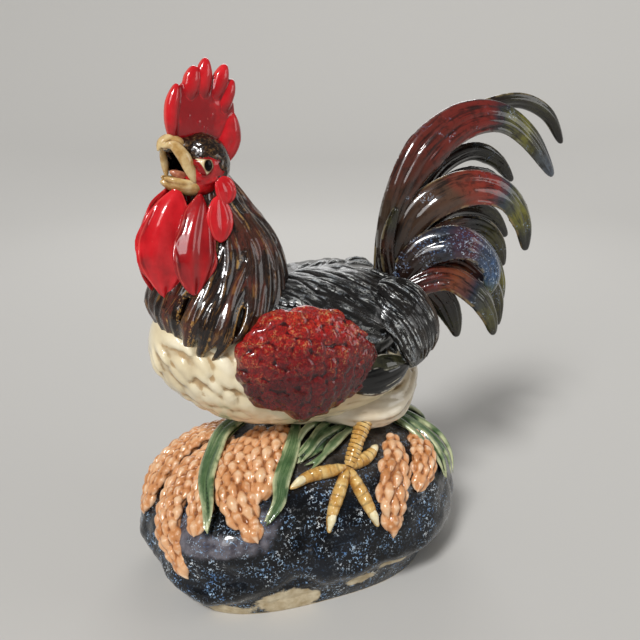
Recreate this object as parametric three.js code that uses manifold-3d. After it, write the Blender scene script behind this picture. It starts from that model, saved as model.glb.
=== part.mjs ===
// A glazed ceramic rooster crowing on a rock overgrown with ripe rice, about 400 mm tall.
// X runs from the head to the tail, Y towards the bird's right, Z up; millimetres.
// Each modelled piece was luted to its neighbours before firing, so a thin glaze joint parts them.
import * as THREE from 'three';
import { mergeVertices } from 'three/addons/utils/BufferGeometryUtils.js';
import Module from 'manifold-3d';

const wasm = await Module();
wasm.setup();

// Driving sizes of the rock
const rockLength = 257;
const rockWidth = 176;
const rockHeight = 110;
const rockKnoll = 13;           // how far the middle of the top swells up under the belly
const rockBelt = 36;            // height of the widest line above the table
const rockTuck = 30;            // degrees that the foot tucks in below the widest line
const rockCorner = 2.7;         // 2 is an oval footprint, more is squarer
const rockWall = 11;
const rockShift = 6;            // the rock's middle lies this far behind the body's reference point
const rockCap = 0.97;           // share of the rise where the last ring closes to the middle of the top
// Swells and hollows in the rock's side: where they are, how far they spread, and how far they stand out
const rockLumps = [
  { turn: 226, rise: 0.42, round: 22, high: 0.09, out: 4 },
  { turn: 230, rise: 0.24, round: 26, high: 0.07, out: -3.5 },
  { turn: 243, rise: 0.56, round: 9, high: 0.12, out: 3.5 },
  { turn: 262, rise: 0.46, round: 13, high: 0.13, out: -3 },
  { turn: 288, rise: 0.34, round: 18, high: 0.1, out: 3.5 },
  { turn: 316, rise: 0.04, round: 34, high: 0.14, out: -6 },
  { turn: 340, rise: 0.55, round: 14, high: 0.12, out: 3 },
  { turn: 20, rise: 0.4, round: 16, high: 0.12, out: -3 },
  { turn: 60, rise: 0.45, round: 20, high: 0.12, out: 4 },
  { turn: 98, rise: 0.4, round: 16, high: 0.14, out: -3 },
  { turn: 134, rise: 0.35, round: 16, high: 0.1, out: 3.5 },
  { turn: 176, rise: 0.26, round: 18, high: 0.1, out: 3 },
];

// Driving sizes of the body
const torsoLength = 219;
const torsoWidth = 120;
const torsoHeight = 118;
const bellySink = 2;            // how deep the belly presses into the top of the rock
const torsoWall = 10;
const ventBore = 18;            // firing vent from the body down through the rock

// Driving sizes of the head, which looks up and to the bird's left
const headLength = 46;
const headWidth = 40;
const headHeight = 46;
const headRise = 148;           // head centre above the torso's middle
const headReach = 66;           // head centre ahead of the torso's middle
const headTurn = 12;            // degrees towards the bird's left
const eyeRadius = 6;
const eyeAhead = 7;             // eye ahead of the head's centre
const eyeHigh = 2;              // eye above the head's centre
const combThickness = 11;
const wattleThickness = 13;
const lobeThickness = 9;
const headSide = 4;             // head centre to the bird's left of the body's middle
const neckTopWidth = 34;

// Driving sizes of the limbs and of the plants
const shankDiameter = 14;
const toeDiameter = 11;
const featherThickness = 11;
const sickleWidth = 33;
const coverWidth = 24;
const wingThickness = 26;
const fluffDepth = 46;
const earThickness = 20;
const grainPitch = 6.5;         // from one row of grains to the next along an ear
const grainRelief = 1.4;        // how far the grains stand above the smooth form of an ear
const leafThickness = 13;

const glazeJoint = 0.3;         // gap left between two luted pieces
const finestEdge = 0.02;        // a cut leaves no edge shorter than this
const towardTail = [1, 0, 0];
const up = [0, 0, 1];
const sides = [['left', -1], ['right', 1]];

const vector = (p) => new THREE.Vector3(...p);
const degrees = (angle) => THREE.MathUtils.degToRad(angle);

// Solids and cuts

function solidOf(geometry) {
  const bare = geometry.clone();
  bare.deleteAttribute('normal');
  bare.deleteAttribute('uv');
  const merged = mergeVertices(bare, 1e-4);
  const mesh = new wasm.Mesh({
    numProp: 3,
    vertProperties: new Float32Array(merged.attributes.position.array),
    triVerts: new Uint32Array(merged.index.array),
    tolerance: finestEdge,
  });
  return new wasm.Manifold(mesh);
}

function joined(solids) {
  return solids.reduce((sum, one) => sum.add(one));
}

// The largest connected body of a cut solid; crumbs that a cut leaves behind are dropped.
function largestBody(solid) {
  const { vertProperties, triVerts } = solid.getMesh();
  const parent = Array.from({ length: vertProperties.length / 3 }, (_, i) => i);
  const root = (i) => {
    let at = i;
    while (parent[at] !== at) {
      parent[at] = parent[parent[at]];
      at = parent[at];
    }
    return at;
  };
  for (let i = 0; i < triVerts.length; i += 3) {
    parent[root(triVerts[i + 1])] = root(triVerts[i]);
    parent[root(triVerts[i + 2])] = root(triVerts[i]);
  }
  const faces = new Map();
  for (let i = 0; i < triVerts.length; i += 3) {
    const body = root(triVerts[i]);
    if (!faces.has(body)) faces.set(body, []);
    faces.get(body).push(triVerts[i], triVerts[i + 1], triVerts[i + 2]);
  }
  const largest = [...faces.values()].sort((a, b) => b.length - a.length)[0];
  const geometry = new THREE.BufferGeometry();
  geometry.setAttribute('position', new THREE.BufferAttribute(new Float32Array(vertProperties), 3));
  geometry.setIndex(largest);
  const trimmed = geometry.toNonIndexed();
  trimmed.computeVertexNormals();
  return trimmed;
}

// A value that runs through evenly spaced stations, for t from 0 to 1
function along(stations, t) {
  if (!Array.isArray(stations)) return stations;
  const at = Math.min(Math.max(t, 0), 1) * (stations.length - 1);
  const low = Math.min(Math.floor(at), stations.length - 2);
  return THREE.MathUtils.lerp(stations[low], stations[low + 1], at - low);
}

// A ball bent along a spine, its poles at the spine's ends. wide and thick are half sizes across and
// along the face direction; blunt above 2 fills the ends out, and below 2 points them. grain raises
// every third corner into a knob of its own and sinks those around it.
function bentBall({ spine, wide, thick, face = up, blunt = 2, rings = 8, around = 8, grain = 0 }, grow = 0) {
  const curve = new THREE.CatmullRomCurve3(spine.map(vector));
  const faces = Array.isArray(face[0]) ? face : [face, face];
  const geometry = new THREE.SphereGeometry(1, around, rings);
  const position = geometry.attributes.position;
  const point = new THREE.Vector3();
  for (let i = 0; i < position.count; i += 1) {
    point.fromBufferAttribute(position, i);
    const t = THREE.MathUtils.clamp((1 - point.y) / 2, 0, 1);
    const ring = Math.hypot(point.x, point.z);
    const fill = (1 - Math.abs(point.y) ** blunt) ** (1 / blunt);
    const tangent = curve.getTangentAt(t);
    const normal = new THREE.Vector3(...[0, 1, 2].map((k) => along(faces.map((f) => f[k]), t)));
    normal.addScaledVector(tangent, -normal.dot(tangent)).normalize();
    const across = new THREE.Vector3().crossVectors(normal, tangent);
    const swing = ring > 1e-6 ? fill / ring : 0;
    const raised = (Math.floor(i / (around + 1)) + (i % (around + 1))) % 3 === 0;
    const stand = grow + (raised ? grain : -grain / 2);
    point.copy(curve.getPointAt(t)).addScaledVector(tangent, -grow * position.getY(i))
      .addScaledVector(across, (along(wide, t) + stand) * position.getX(i) * swing)
      .addScaledVector(normal, (along(thick, t) + stand) * position.getZ(i) * swing);
    position.setXYZ(i, point.x, point.y, point.z);
  }
  return solidOf(geometry);
}

// The rock: turn goes round it in degrees from the tail side, rise from 0 at the foot to 1 at the top

function rockSwell(turn, rise) {
  return rockLumps.reduce((sum, lump) => {
    const aside = ((turn - lump.turn + 540) % 360 - 180) / lump.round;
    const above = (rise - lump.rise) / lump.high;
    return sum + lump.out * Math.exp(-(aside ** 2) - above ** 2);
  }, 0);
}

function rockPoint(turn, rise, inset = 0) {
  const a = degrees(turn);
  const lift = degrees(rockTuck);
  const e = rise * (Math.PI / 2 + lift) - lift;
  const shoulder = 0.72 - 0.2 * Math.cos(a);
  const crown = rockHeight - inset - rockBelt;
  const reach = e < 0 ? Math.cos(e) : Math.max(Math.cos(e), 0) ** shoulder;
  const z = e < 0
    ? rockBelt * (1 + Math.sin(e) / Math.sin(lift))
    : rockBelt + crown * Math.sin(e) ** shoulder + rockKnoll * Math.sin(e) ** 9;
  const square = Math.abs(Math.cos(a)) ** rockCorner + Math.abs(Math.sin(a)) ** rockCorner;
  const corner = square ** (-1 / rockCorner);
  const lump = corner * (1 + 0.02 * Math.sin(3 * a + 0.6) + 0.018 * Math.sin(5 * a + 1.2));
  const swell = rockSwell(turn, rise);
  return new THREE.Vector3(
    rockShift + ((rockLength / 2 - inset) * reach * lump + swell) * Math.cos(a),
    ((rockWidth / 2 - inset) * reach * lump + swell) * Math.sin(a),
    z,
  );
}

function rockNormal(turn, rise) {
  const step = 0.02;
  const high = Math.min(rise + step, rockCap);
  const low = Math.min(rise, rockCap - step) - step;
  const round = rockPoint(turn + 2, rise).sub(rockPoint(turn - 2, rise));
  const climb = rockPoint(turn, high).sub(rockPoint(turn, low));
  return new THREE.Vector3().crossVectors(round, climb).normalize();
}

function rockSolid(inset, foot, steps = 14, around = 44) {
  const profile = [new THREE.Vector2(0, 0)];
  for (let i = 0; i <= steps; i += 1) profile.push(new THREE.Vector2(1, rockCap * i / steps));
  profile.push(new THREE.Vector2(0, 1));
  const geometry = new THREE.LatheGeometry(profile, around);
  geometry.rotateX(Math.PI / 2);
  const position = geometry.attributes.position;
  for (let i = 0; i < position.count; i += 1) {
    const turn = THREE.MathUtils.radToDeg(Math.atan2(position.getY(i), position.getX(i)));
    const rise = position.getZ(i);
    const radius = Math.hypot(position.getX(i), position.getY(i));
    const rim = rockPoint(turn, rise, inset);
    const middle = new THREE.Vector3(rockShift, 0, rise > 0.5 ? rockHeight + rockKnoll - inset : rim.z);
    const place = middle.lerp(rim, Math.min(radius, 1));
    position.setXYZ(i, place.x, place.y, rise < 1e-6 ? foot : place.z);
  }
  return solidOf(geometry);
}

// A strip that lies on the rock: its route is a list of turn and rise, and it is half sunk before the cut
function draped({ route, wide, thick, lift = 0, ...rest }, grow) {
  const spine = route.map(([turn, rise]) => rockPoint(turn, rise)
    .addScaledVector(rockNormal(turn, rise), lift).toArray());
  const face = route.map(([turn, rise]) => rockNormal(turn, rise).toArray());
  return bentBall({ spine, wide, thick, face, ...rest }, grow);
}

// Places on the body, as shares of its half sizes, and places on the head in millimetres

const torsoMiddle = [-4, 0, rockHeight + rockKnoll - bellySink + torsoHeight / 2];
const onTorso = (u, v, w) => [
  torsoMiddle[0] + u * torsoLength / 2,
  torsoMiddle[1] + v * torsoWidth / 2,
  torsoMiddle[2] + w * torsoHeight / 2,
];
const headCentre = [torsoMiddle[0] - headReach, -headSide, torsoMiddle[2] + headRise];
const headAhead = [-Math.cos(degrees(headTurn)), -Math.sin(degrees(headTurn)), 0];
const headLeft = [Math.sin(degrees(headTurn)), -Math.cos(degrees(headTurn)), 0];
const onHead = (ahead, left, high) => headCentre.map(
  (value, k) => value + ahead * headAhead[k] + left * headLeft[k] + high * up[k],
);
const between = (a, b, share) => a.map((value, k) => THREE.MathUtils.lerp(value, b[k], share));
const shifted = (a, b) => a.map((value, k) => value + b[k]);

// Finishes: colour, roughness
const finishes = {
  rockGlaze: [0x1c2534, 0.35],
  leafGlaze: [0x5f6b3a, 0.4],
  grainGlaze: [0xc77d4c, 0.4],
  creamGlaze: [0xe2d3b8, 0.35],
  hackleGlaze: [0x3a1c12, 0.3],
  redGlaze: [0xc3141a, 0.25],
  ochreGlaze: [0xb98a4a, 0.4],
  eyeGlaze: [0xd9ccb4, 0.2],
  wingGlaze: [0x7c1414, 0.3],
  flightGlaze: [0x101010, 0.25],
  saddleGlaze: [0x23201f, 0.3],
  tailGlaze: [0x3a1a1a, 0.3],
};

const pieces = [];
const addPiece = (name, finish, form, hollow) => pieces.push({ name, finish, form, hollow });

function ventSolid() {
  const depth = rockHeight + torsoHeight;
  const bore = new THREE.CylinderGeometry(ventBore / 2, ventBore / 2, depth, 12);
  bore.rotateX(Math.PI / 2);
  bore.translate(rockShift, 0, torsoMiddle[2] - depth / 2);
  return solidOf(bore);
}

// Rock and torso

const rockHollow = () => rockSolid(rockWall, -rockWall, 6, 20).add(ventSolid());
addPiece('rock_base', 'rockGlaze', (grow) => rockSolid(-grow, -grow), rockHollow);

function torsoSolid(grow, rings = 13, around = 18) {
  const half = torsoHeight / 2;
  const side = torsoWidth / 2;
  return bentBall({
    spine: [
      onTorso(-1, 0, 0.5), onTorso(-0.52, 0, 0.26), onTorso(0.03, 0, 0),
      onTorso(0.58, 0, -0.1), onTorso(1, 0, 0.02),
    ],
    wide: [0.8, 0.95, 1, 0.96, 0.78].map((share) => share * side),
    thick: [0.86, 0.99, 1, 0.96, 0.8].map((share) => share * half),
    blunt: 2.3,
    rings,
    around,
  }, grow);
}

const torsoHollow = () => torsoSolid(-torsoWall, 8, 10).add(ventSolid());
addPiece('body_shell', 'creamGlaze', torsoSolid, torsoHollow);

// Head, beak and mouth

const headSolid = (grow) => bentBall({
  spine: [onHead(-headLength / 2, 0, -4), onHead(0, 0, 0), onHead(headLength / 2, 0, 2)],
  wide: headWidth / 2,
  thick: headHeight / 2,
  rings: 10,
  around: 12,
}, grow);
const mouthSolid = () => bentBall({
  spine: [onHead(7, 0, -9), onHead(15, 0, -4), onHead(26, 0, 3), onHead(44, 0, 9)],
  wide: headWidth * 0.6,
  thick: [2, 5, 8, 12],
  blunt: 3,
  rings: 8,
  around: 10,
});
const upperBeak = (grow) => bentBall({
  spine: [onHead(1, 0, -8), onHead(9, 0, 6), onHead(21, 0, 14), onHead(32, 0, 14)],
  wide: [16, 17, 12, 6],
  thick: [12, 12, 9, 6],
  rings: 9,
  around: 10,
}, grow);
const lowerBeak = (grow) => bentBall({
  spine: [onHead(-2, 0, -15), onHead(10, 0, -13), onHead(21, 0, -10), onHead(30, 0, -7)],
  wide: [16, 15, 11, 5],
  thick: [8, 8, 7, 5],
  rings: 8,
  around: 10,
}, grow);

addPiece('tongue', 'redGlaze', (grow) => bentBall({
  spine: [onHead(5, 0, -11), onHead(13, 0, -8), onHead(22, 0, -6)],
  wide: [5, 6, 4],
  thick: 4,
  rings: 6,
}, grow));
addPiece('beak_upper', 'ochreGlaze', upperBeak, mouthSolid);
addPiece('beak_lower', 'ochreGlaze', lowerBeak, mouthSolid);
addPiece('head', 'redGlaze', headSolid, mouthSolid);

for (const [side, sign] of sides) {
  const left = -sign;
  addPiece(`eye_${side}`, 'eyeGlaze', (grow) => bentBall({
    spine: [
      onHead(eyeAhead, left * (headWidth / 2 - 4), eyeHigh),
      onHead(eyeAhead, left * (headWidth / 2 + 2), eyeHigh),
    ],
    wide: eyeRadius,
    thick: eyeRadius,
    rings: 6,
    around: 10,
  }, grow));
}

// Comb: a blade along the crown with five points and a lobe behind
const combPoints = [
  { from: [12, 24], over: [17, 42], tip: [14.5, 55.5], half: 8.5 },
  { from: [5, 30], over: [5, 50], tip: [1.5, 67], half: 7.5 },
  { from: [-3, 30], over: [-4, 54], tip: [-7, 72], half: 7.5 },
  { from: [-9, 30], over: [-15, 50], tip: [-22, 67.5], half: 7.5 },
  { from: [-12, 26], over: [-20, 42], tip: [-27, 57.5], half: 7 },
];
addPiece('comb', 'redGlaze', (grow) => {
  const blade = bentBall({
    spine: [onHead(22, 0, 22), onHead(6, 0, 30), onHead(-10, 0, 28), onHead(-24, 0, 14)],
    wide: [12, 19, 20, 13],
    thick: combThickness / 2,
    face: headLeft,
    rings: 9,
    around: 8,
  }, grow);
  const lobe = bentBall({
    spine: [onHead(-15, 0, -1), onHead(-22, 0, 14), onHead(-25, 0, 36)],
    wide: [8, 10, 8],
    thick: combThickness / 2,
    face: headLeft,
    rings: 7,
    around: 8,
  }, grow);
  const points = combPoints.map(({ from, over, tip, half }) => bentBall({
    spine: [onHead(from[0], 0, from[1]), onHead(over[0], 0, over[1]), onHead(tip[0], 0, tip[1])],
    wide: [half, half, half * 0.7],
    thick: combThickness / 2 - 1,
    face: headLeft,
    blunt: 2.4,
    rings: 7,
    around: 8,
  }, grow));
  return joined([blade, lobe, ...points]);
});

// Wattles under the beak, jowls under the cheeks, and lobes below the ears
for (const [side, sign] of sides) {
  const left = -sign;
  addPiece(`wattle_${side}`, 'redGlaze', (grow) => bentBall({
    spine: [
      onHead(20, left * 4, -12), onHead(28, left * 8, -34),
      onHead(33, left * 9, -58), onHead(35, left * 9, -88),
    ],
    wide: [7, 13, 15, 8],
    thick: [0.7, 1, 1, 0.7].map((share) => share * wattleThickness / 2),
    face: headLeft,
    rings: 9,
    around: 10,
  }, grow));
  addPiece(`jowl_${side}`, 'redGlaze', (grow) => bentBall({
    spine: [
      onHead(8, left * 12, -16), onHead(15, left * 18, -36),
      onHead(21, left * 24, -58), onHead(25, left * 28, -84),
    ],
    wide: [8, 12, 15, 10],
    thick: [0.9, 1, 1, 0.7].map((share) => share * wattleThickness / 2),
    face: headLeft,
    rings: 9,
    around: 10,
  }, grow));
  addPiece(`ear_lobe_${side}`, 'redGlaze', (grow) => bentBall({
    spine: [onHead(-3, left * 18, -18), onHead(-1, left * 22, -35), onHead(1, left * 25, -51)],
    wide: [5, 8, 6.5],
    thick: lobeThickness / 2,
    face: shifted(headLeft.map((k) => k * left), [0, 0, 0.2]),
  }, grow));
  addPiece(`cheek_lobe_${side}`, 'redGlaze', (grow) => bentBall({
    spine: [onHead(-4, left * 17, -6), onHead(-9, left * 19, -15), onHead(-7, left * 20, -26)],
    wide: [4, 5.5, 4.5],
    thick: lobeThickness / 2,
    face: shifted(headLeft.map((k) => k * left), [0, 0, 0.2]),
    rings: 8,
  }, grow));
}

// Neck cape: long hackle strands fall from the nape over the shoulders
const capeTop = onHead(-4, 0, 0);
const capeSeat = onTorso(-0.52, 0, 0.72);
addPiece('neck_hackle', 'hackleGlaze', (grow) => bentBall({
  spine: [
    capeTop,
    shifted(between(capeTop, capeSeat, 0.28), [6, 0, 0]),
    shifted(between(capeTop, capeSeat, 0.62), [11, 0, 0]),
    capeSeat,
    onTorso(-0.66, 0, -0.02),
  ],
  wide: [neckTopWidth / 2, neckTopWidth * 0.62, torsoWidth * 0.3, torsoWidth * 0.47, torsoWidth * 0.49],
  thick: [
    neckTopWidth / 2, neckTopWidth * 0.77, torsoLength * 0.205, torsoLength * 0.245, torsoLength * 0.17,
  ],
  face: towardTail,
  blunt: 3,
  rings: 10,
  around: 14,
}, grow));

// Wings: a rounded shoulder of small feathers, and dark flight feathers behind it
for (const [side, sign] of sides) {
  const outward = [0, sign, 0.15];
  addPiece(`wing_${side}`, 'wingGlaze', (grow) => bentBall({
    spine: [
      onTorso(-0.54, sign * 0.8, 0.06), onTorso(-0.28, sign * 0.98, 0.3),
      onTorso(0.1, sign, 0.3), onTorso(0.4, sign * 0.92, 0.12),
    ],
    wide: [0.42, 0.74, 0.72, 0.5].map((share) => share * torsoHeight / 2),
    thick: [0.8, 1, 1, 0.8].map((share) => share * wingThickness / 2),
    face: outward,
    blunt: 2.4,
    rings: 10,
    around: 12,
  }, grow));
  addPiece(`flight_feathers_${side}`, 'flightGlaze', (grow) => bentBall({
    spine: [
      onTorso(0.14, sign * 0.98, -0.14), onTorso(0.38, sign * 0.99, -0.12),
      onTorso(0.58, sign * 0.94, -0.08), onTorso(0.74, sign * 0.86, -0.02),
    ],
    wide: [15, 15, 12, 6],
    thick: [8, 8, 7, 5],
    face: outward,
    rings: 10,
  }, grow));
}

// Back: the saddle between the neck and the tail, with long saddle hackles falling down the flanks
addPiece('saddle', 'saddleGlaze', (grow) => bentBall({
  spine: [onTorso(-0.56, 0, 0.52), onTorso(0, 0, 0.4), onTorso(0.46, 0, 0.4), onTorso(0.93, 0, 0.58)],
  wide: [0.9, 1.04, 1.03, 0.7].map((share) => share * torsoWidth / 2),
  thick: [0.62, 0.73, 0.76, 0.62].map((share) => share * torsoHeight / 2),
  blunt: 2.7,
  rings: 10,
  around: 14,
}, grow));
for (const [side, sign] of sides) {
  addPiece(`saddle_hackle_${side}`, 'saddleGlaze', (grow) => bentBall({
    spine: [
      onTorso(0.4, sign * 0.55, 0.9), onTorso(0.66, sign * 0.8, 0.62),
      onTorso(0.82, sign * 0.84, 0.24), onTorso(0.86, sign * 0.74, -0.2),
    ],
    wide: [20, 26, 24, 13],
    thick: [9, 11, 11, 7],
    face: [0.35, sign, 0.25],
    rings: 9,
    around: 10,
  }, grow));
}
addPiece('rear_fluff', 'creamGlaze', (grow) => bentBall({
  spine: [onTorso(0.12, 0, -0.72), onTorso(0.5, 0, -0.8), onTorso(0.82, 0, -0.72), onTorso(1.05, 0, -0.5)],
  wide: [0.7, 0.84, 0.78, 0.5].map((share) => share * torsoWidth / 2),
  thick: [0.9, 1, 1, 0.8].map((share) => share * fluffDepth / 2),
  rings: 10,
  around: 14,
}, grow));

// Tail: each feather is a flat strip that rises from the tail root and arches over.
// Its route is given from the root in millimetres, back and up, and lean turns its face outward.
const tailRoot = onTorso(0.74, 0, 0.86);
const tailFeathers = [
  {
    name: 'sickle_left', width: sickleWidth, side: -7,
    route: [[2, -8], [-1, 36], [10, 74], [33, 103], [64, 121], [96, 122], [124, 106], [153, 72]],
    shares: [0.6, 0.62, 0.74, 1, 0.92, 0.82, 0.78, 0.6],
  },
  {
    name: 'sickle_right', width: sickleWidth * 0.8, side: 8,
    route: [[-2, -8], [10, 50], [34, 90], [74, 120], [106, 131], [134, 132], [160, 120], [178, 95]],
    shares: [0.8, 0.8, 0.8, 0.7, 0.58, 0.56, 0.58, 0.55],
  },
  {
    name: 'tail_spike', width: coverWidth * 0.55, side: -16,
    route: [[3, -6], [-5, 34], [-3, 61]],
    shares: [1, 1, 0.7],
  },
  {
    name: 'tail_feather_1', width: coverWidth, side: 15,
    route: [[4, 0], [38, 54], [66, 82], [94, 92], [118, 83], [137, 64]],
    shares: [0.8, 1, 0.95, 0.85, 0.75, 0.55],
  },
  {
    name: 'tail_feather_2', width: sickleWidth * 0.92, side: -13,
    route: [[2, -2], [20, 48], [48, 67], [78, 69], [102, 59], [119, 36], [124, 13]],
    shares: [0.7, 0.85, 0.95, 1, 0.95, 0.85, 0.6],
  },
  {
    name: 'tail_feather_3', width: coverWidth, side: 16,
    route: [[4, -2], [50, 34], [83, 43], [115, 35], [136, 15]],
    shares: [0.8, 1, 1.1, 1, 0.6],
  },
  {
    name: 'tail_feather_4', width: coverWidth, side: 4,
    route: [[4, -4], [56, 30], [90, 31], [112, 15], [121, -6]],
    shares: [0.8, 1, 1, 0.9, 0.6],
  },
  {
    name: 'tail_feather_5', width: coverWidth * 1.1, side: -22,
    route: [[0, -8], [26, 24], [51, 30], [73, 18], [82, 1], [78, -17]],
    shares: [0.8, 1, 1.1, 1, 0.85, 0.6],
  },
  {
    name: 'tail_feather_6', width: coverWidth * 1.1, side: 24,
    route: [[0, -8], [34, 26], [62, 30], [84, 12], [91, -14]],
    shares: [0.8, 1, 1.1, 0.95, 0.6],
  },
  {
    name: 'tail_feather_7', width: coverWidth * 0.85, side: -2,
    route: [[6, -8], [62, 22], [94, 10], [110, -15], [113, -42]],
    shares: [0.8, 1, 1, 0.95, 0.6],
  },
  {
    name: 'tail_feather_8', width: coverWidth * 0.85, side: -12,
    route: [[6, -12], [56, 10], [82, -4], [98, -24], [102, -50]],
    shares: [0.8, 1, 1, 0.95, 0.6],
  },
  {
    name: 'tail_feather_9', width: coverWidth * 0.95, side: -28,
    route: [[0, -14], [40, 2], [62, -12], [75, -30], [81, -48]],
    shares: [0.8, 1, 1, 0.95, 0.6],
  },
  {
    name: 'tail_feather_10', width: coverWidth * 0.95, side: 28,
    route: [[0, -16], [40, -3], [64, -18], [77, -36], [82, -54]],
    shares: [0.8, 1, 1, 0.95, 0.6],
  },
  {
    name: 'tail_feather_11', width: coverWidth, side: 6,
    route: [[4, -20], [40, -12], [63, -30], [75, -50], [80, -66]],
    shares: [0.8, 1, 1, 0.95, 0.6],
  },
];
for (const { name, width, side, route, shares } of tailFeathers) {
  const lean = [0, Math.sign(side) * 1.1, 0.55];
  addPiece(name, 'tailGlaze', (grow) => bentBall({
    spine: route.map(([back, high], i) => shifted(tailRoot, [
      back, side * (0.5 + 0.5 * Math.min(i, 2)), high,
    ])),
    wide: shares.map((share) => share * width / 2),
    thick: featherThickness / 2,
    face: lean,
    blunt: 3,
    rings: 11,
    around: 8,
  }, grow));
}

// Feet: three toes forward and one back, each ending in a claw, gripping the rock
const footPlaces = [
  { side: 'left', sign: -1, heel: [277, 0.7], hip: onTorso(0.44, -0.66, -0.8) },
  { side: 'right', sign: 1, heel: [80, 0.7], hip: onTorso(0.5, 0.6, -0.8) },
];
// Inner, middle, outer and back toe, as turn and rise from the heel
const toeRoutes = [
  { bend: [-20, -0.01], tip: [-29, -0.05] },
  { bend: [-12, -0.23], tip: [-14, -0.31] },
  { bend: [2, -0.25], tip: [3, -0.33] },
  { bend: [12, 0.03], tip: [22, 0.07] },
];
for (const { side, sign, heel, hip } of footPlaces) {
  const toeHalf = toeDiameter / 2;
  const shankHalf = shankDiameter / 2;
  const ankle = rockPoint(...heel).addScaledVector(rockNormal(...heel), toeHalf).toArray();
  const fromHeel = ([turn, rise]) => [heel[0] - sign * turn, heel[1] + rise];
  addPiece(`foot_${side}`, 'ochreGlaze', (grow) => joined(toeRoutes.map(({ bend, tip }) => draped({
    route: [heel, fromHeel(bend), fromHeel(tip)],
    wide: [toeHalf, toeHalf, toeHalf * 0.6],
    thick: [toeHalf * 1.4, toeHalf * 1.1, toeHalf * 0.7],
    lift: toeHalf * 0.4,
    blunt: 2.4,
    rings: 7,
    around: 6,
  }, grow))));
  addPiece(`leg_${side}`, 'ochreGlaze', (grow) => bentBall({
    spine: [shifted(ankle, [0, 0, -shankHalf * 0.4]), between(ankle, hip, 0.5), hip],
    wide: [shankHalf, shankHalf, shankHalf * 1.4],
    thick: [shankHalf, shankHalf, shankHalf * 1.4],
    face: towardTail,
    blunt: 3.4,
    rings: 7,
    around: 8,
  }, grow));
}

// Rice: ripe ears hang over the rock, and blades of leaf run down between them
const riceEars = [
  { route: [[136, 0.84], [143, 0.64], [157, 0.49], [166, 0.34]], half: 21 },
  { route: [[164, 0.8], [181, 0.56], [197, 0.4], [214, 0.25]], half: 16 },
  { route: [[184, 0.8], [203, 0.64], [216, 0.45]], half: 12 },
  { route: [[184, 0.88], [210, 0.75], [226, 0.62], [239, 0.44]], half: 15 },
  { route: [[212, 0.94], [230, 0.8], [236, 0.6]], half: 11.5 },
  { route: [[314, 0.78], [298, 0.65], [288, 0.48], [285, 0.31]], half: 12 },
  { route: [[330, 0.72], [314, 0.6], [299, 0.46]], half: 11 },
  { route: [[48, 0.8], [56, 0.6], [58, 0.4]], half: 13 },
  { route: [[112, 0.82], [108, 0.62], [104, 0.42]], half: 13 },
];
const routeLength = (route) => route.slice(1).reduce(
  (sum, place, i) => sum + rockPoint(...place).distanceTo(rockPoint(...route[i])), 0,
);
riceEars.forEach(({ route, half }, i) => addPiece(`rice_ear_${i + 1}`, 'grainGlaze', (grow) => draped({
  route,
  wide: [half * 0.6, half, half, half * 0.6],
  thick: [0.6, 1, 1, 0.7].map((share) => share * earThickness / 2),
  blunt: 2.3,
  rings: Math.round(routeLength(route) / grainPitch) + 2,
  around: 12,
  grain: grainRelief,
}, grow)));

const leafTufts = [
  { name: 'leaf_front', route: [[150, 0.92], [188, 0.78], [209, 0.66], [220, 0.47]], half: 14, lift: 3 },
  { name: 'leaf_middle', route: [[236, 0.98], [242, 0.8], [244, 0.62], [243, 0.5]], half: 11, lift: 1 },
  { name: 'leaf_side', route: [[310, 0.93], [272, 0.86], [250, 0.76]], half: 17, lift: 1 },
  { name: 'leaf_rear', route: [[352, 0.92], [338, 0.76], [326, 0.57], [320, 0.38]], half: 16, lift: 1 },
  { name: 'leaf_back', route: [[90, 0.92], [84, 0.72], [82, 0.5], [80, 0.36]], half: 14, lift: 0 },
  { name: 'leaf_tail', route: [[20, 0.9], [18, 0.72], [14, 0.55], [10, 0.4]], half: 14, lift: 0 },
];
for (const { name, route, half, lift } of leafTufts) {
  addPiece(name, 'leafGlaze', (grow) => draped({
    route,
    wide: [half, half, half, half * 0.5],
    thick: leafThickness / 2,
    lift,
    blunt: 2.2,
    rings: 8,
    around: 8,
  }, grow));
}

// Each piece is cut by every earlier one that it meets, which keeps the glaze joint between them
function boxOf(solid) {
  const { vertProperties } = solid.getMesh();
  return new THREE.Box3().setFromArray(vertProperties);
}

const rooster = new THREE.Group();
const placed = [];
for (const { name, finish, form, hollow } of pieces) {
  let solid = form(0);
  const box = boxOf(solid);
  for (const neighbour of placed) {
    if (neighbour.box.intersectsBox(box)) solid = solid.subtract(neighbour.cutter);
  }
  const cutter = form(glazeJoint);
  placed.push({ box: boxOf(cutter), cutter });
  if (hollow) solid = solid.subtract(hollow());
  const [colour, roughness] = finishes[finish];
  const material = new THREE.MeshStandardMaterial({ color: colour, roughness, metalness: 0 });
  const mesh = new THREE.Mesh(largestBody(solid), material);
  mesh.name = name;
  rooster.add(mesh);
}

// The origin is on the table, below the middle of the whole figure
const reach = new THREE.Box3().setFromObject(rooster);
const middle = reach.getCenter(new THREE.Vector3());
rooster.position.set(-middle.x, -middle.y, -reach.min.z);

export default rooster;
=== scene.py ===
import math
import random

import bmesh
import bpy
import numpy as np
from mathutils import Matrix, Vector, noise
from mathutils.bvhtree import BVHTree


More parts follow.
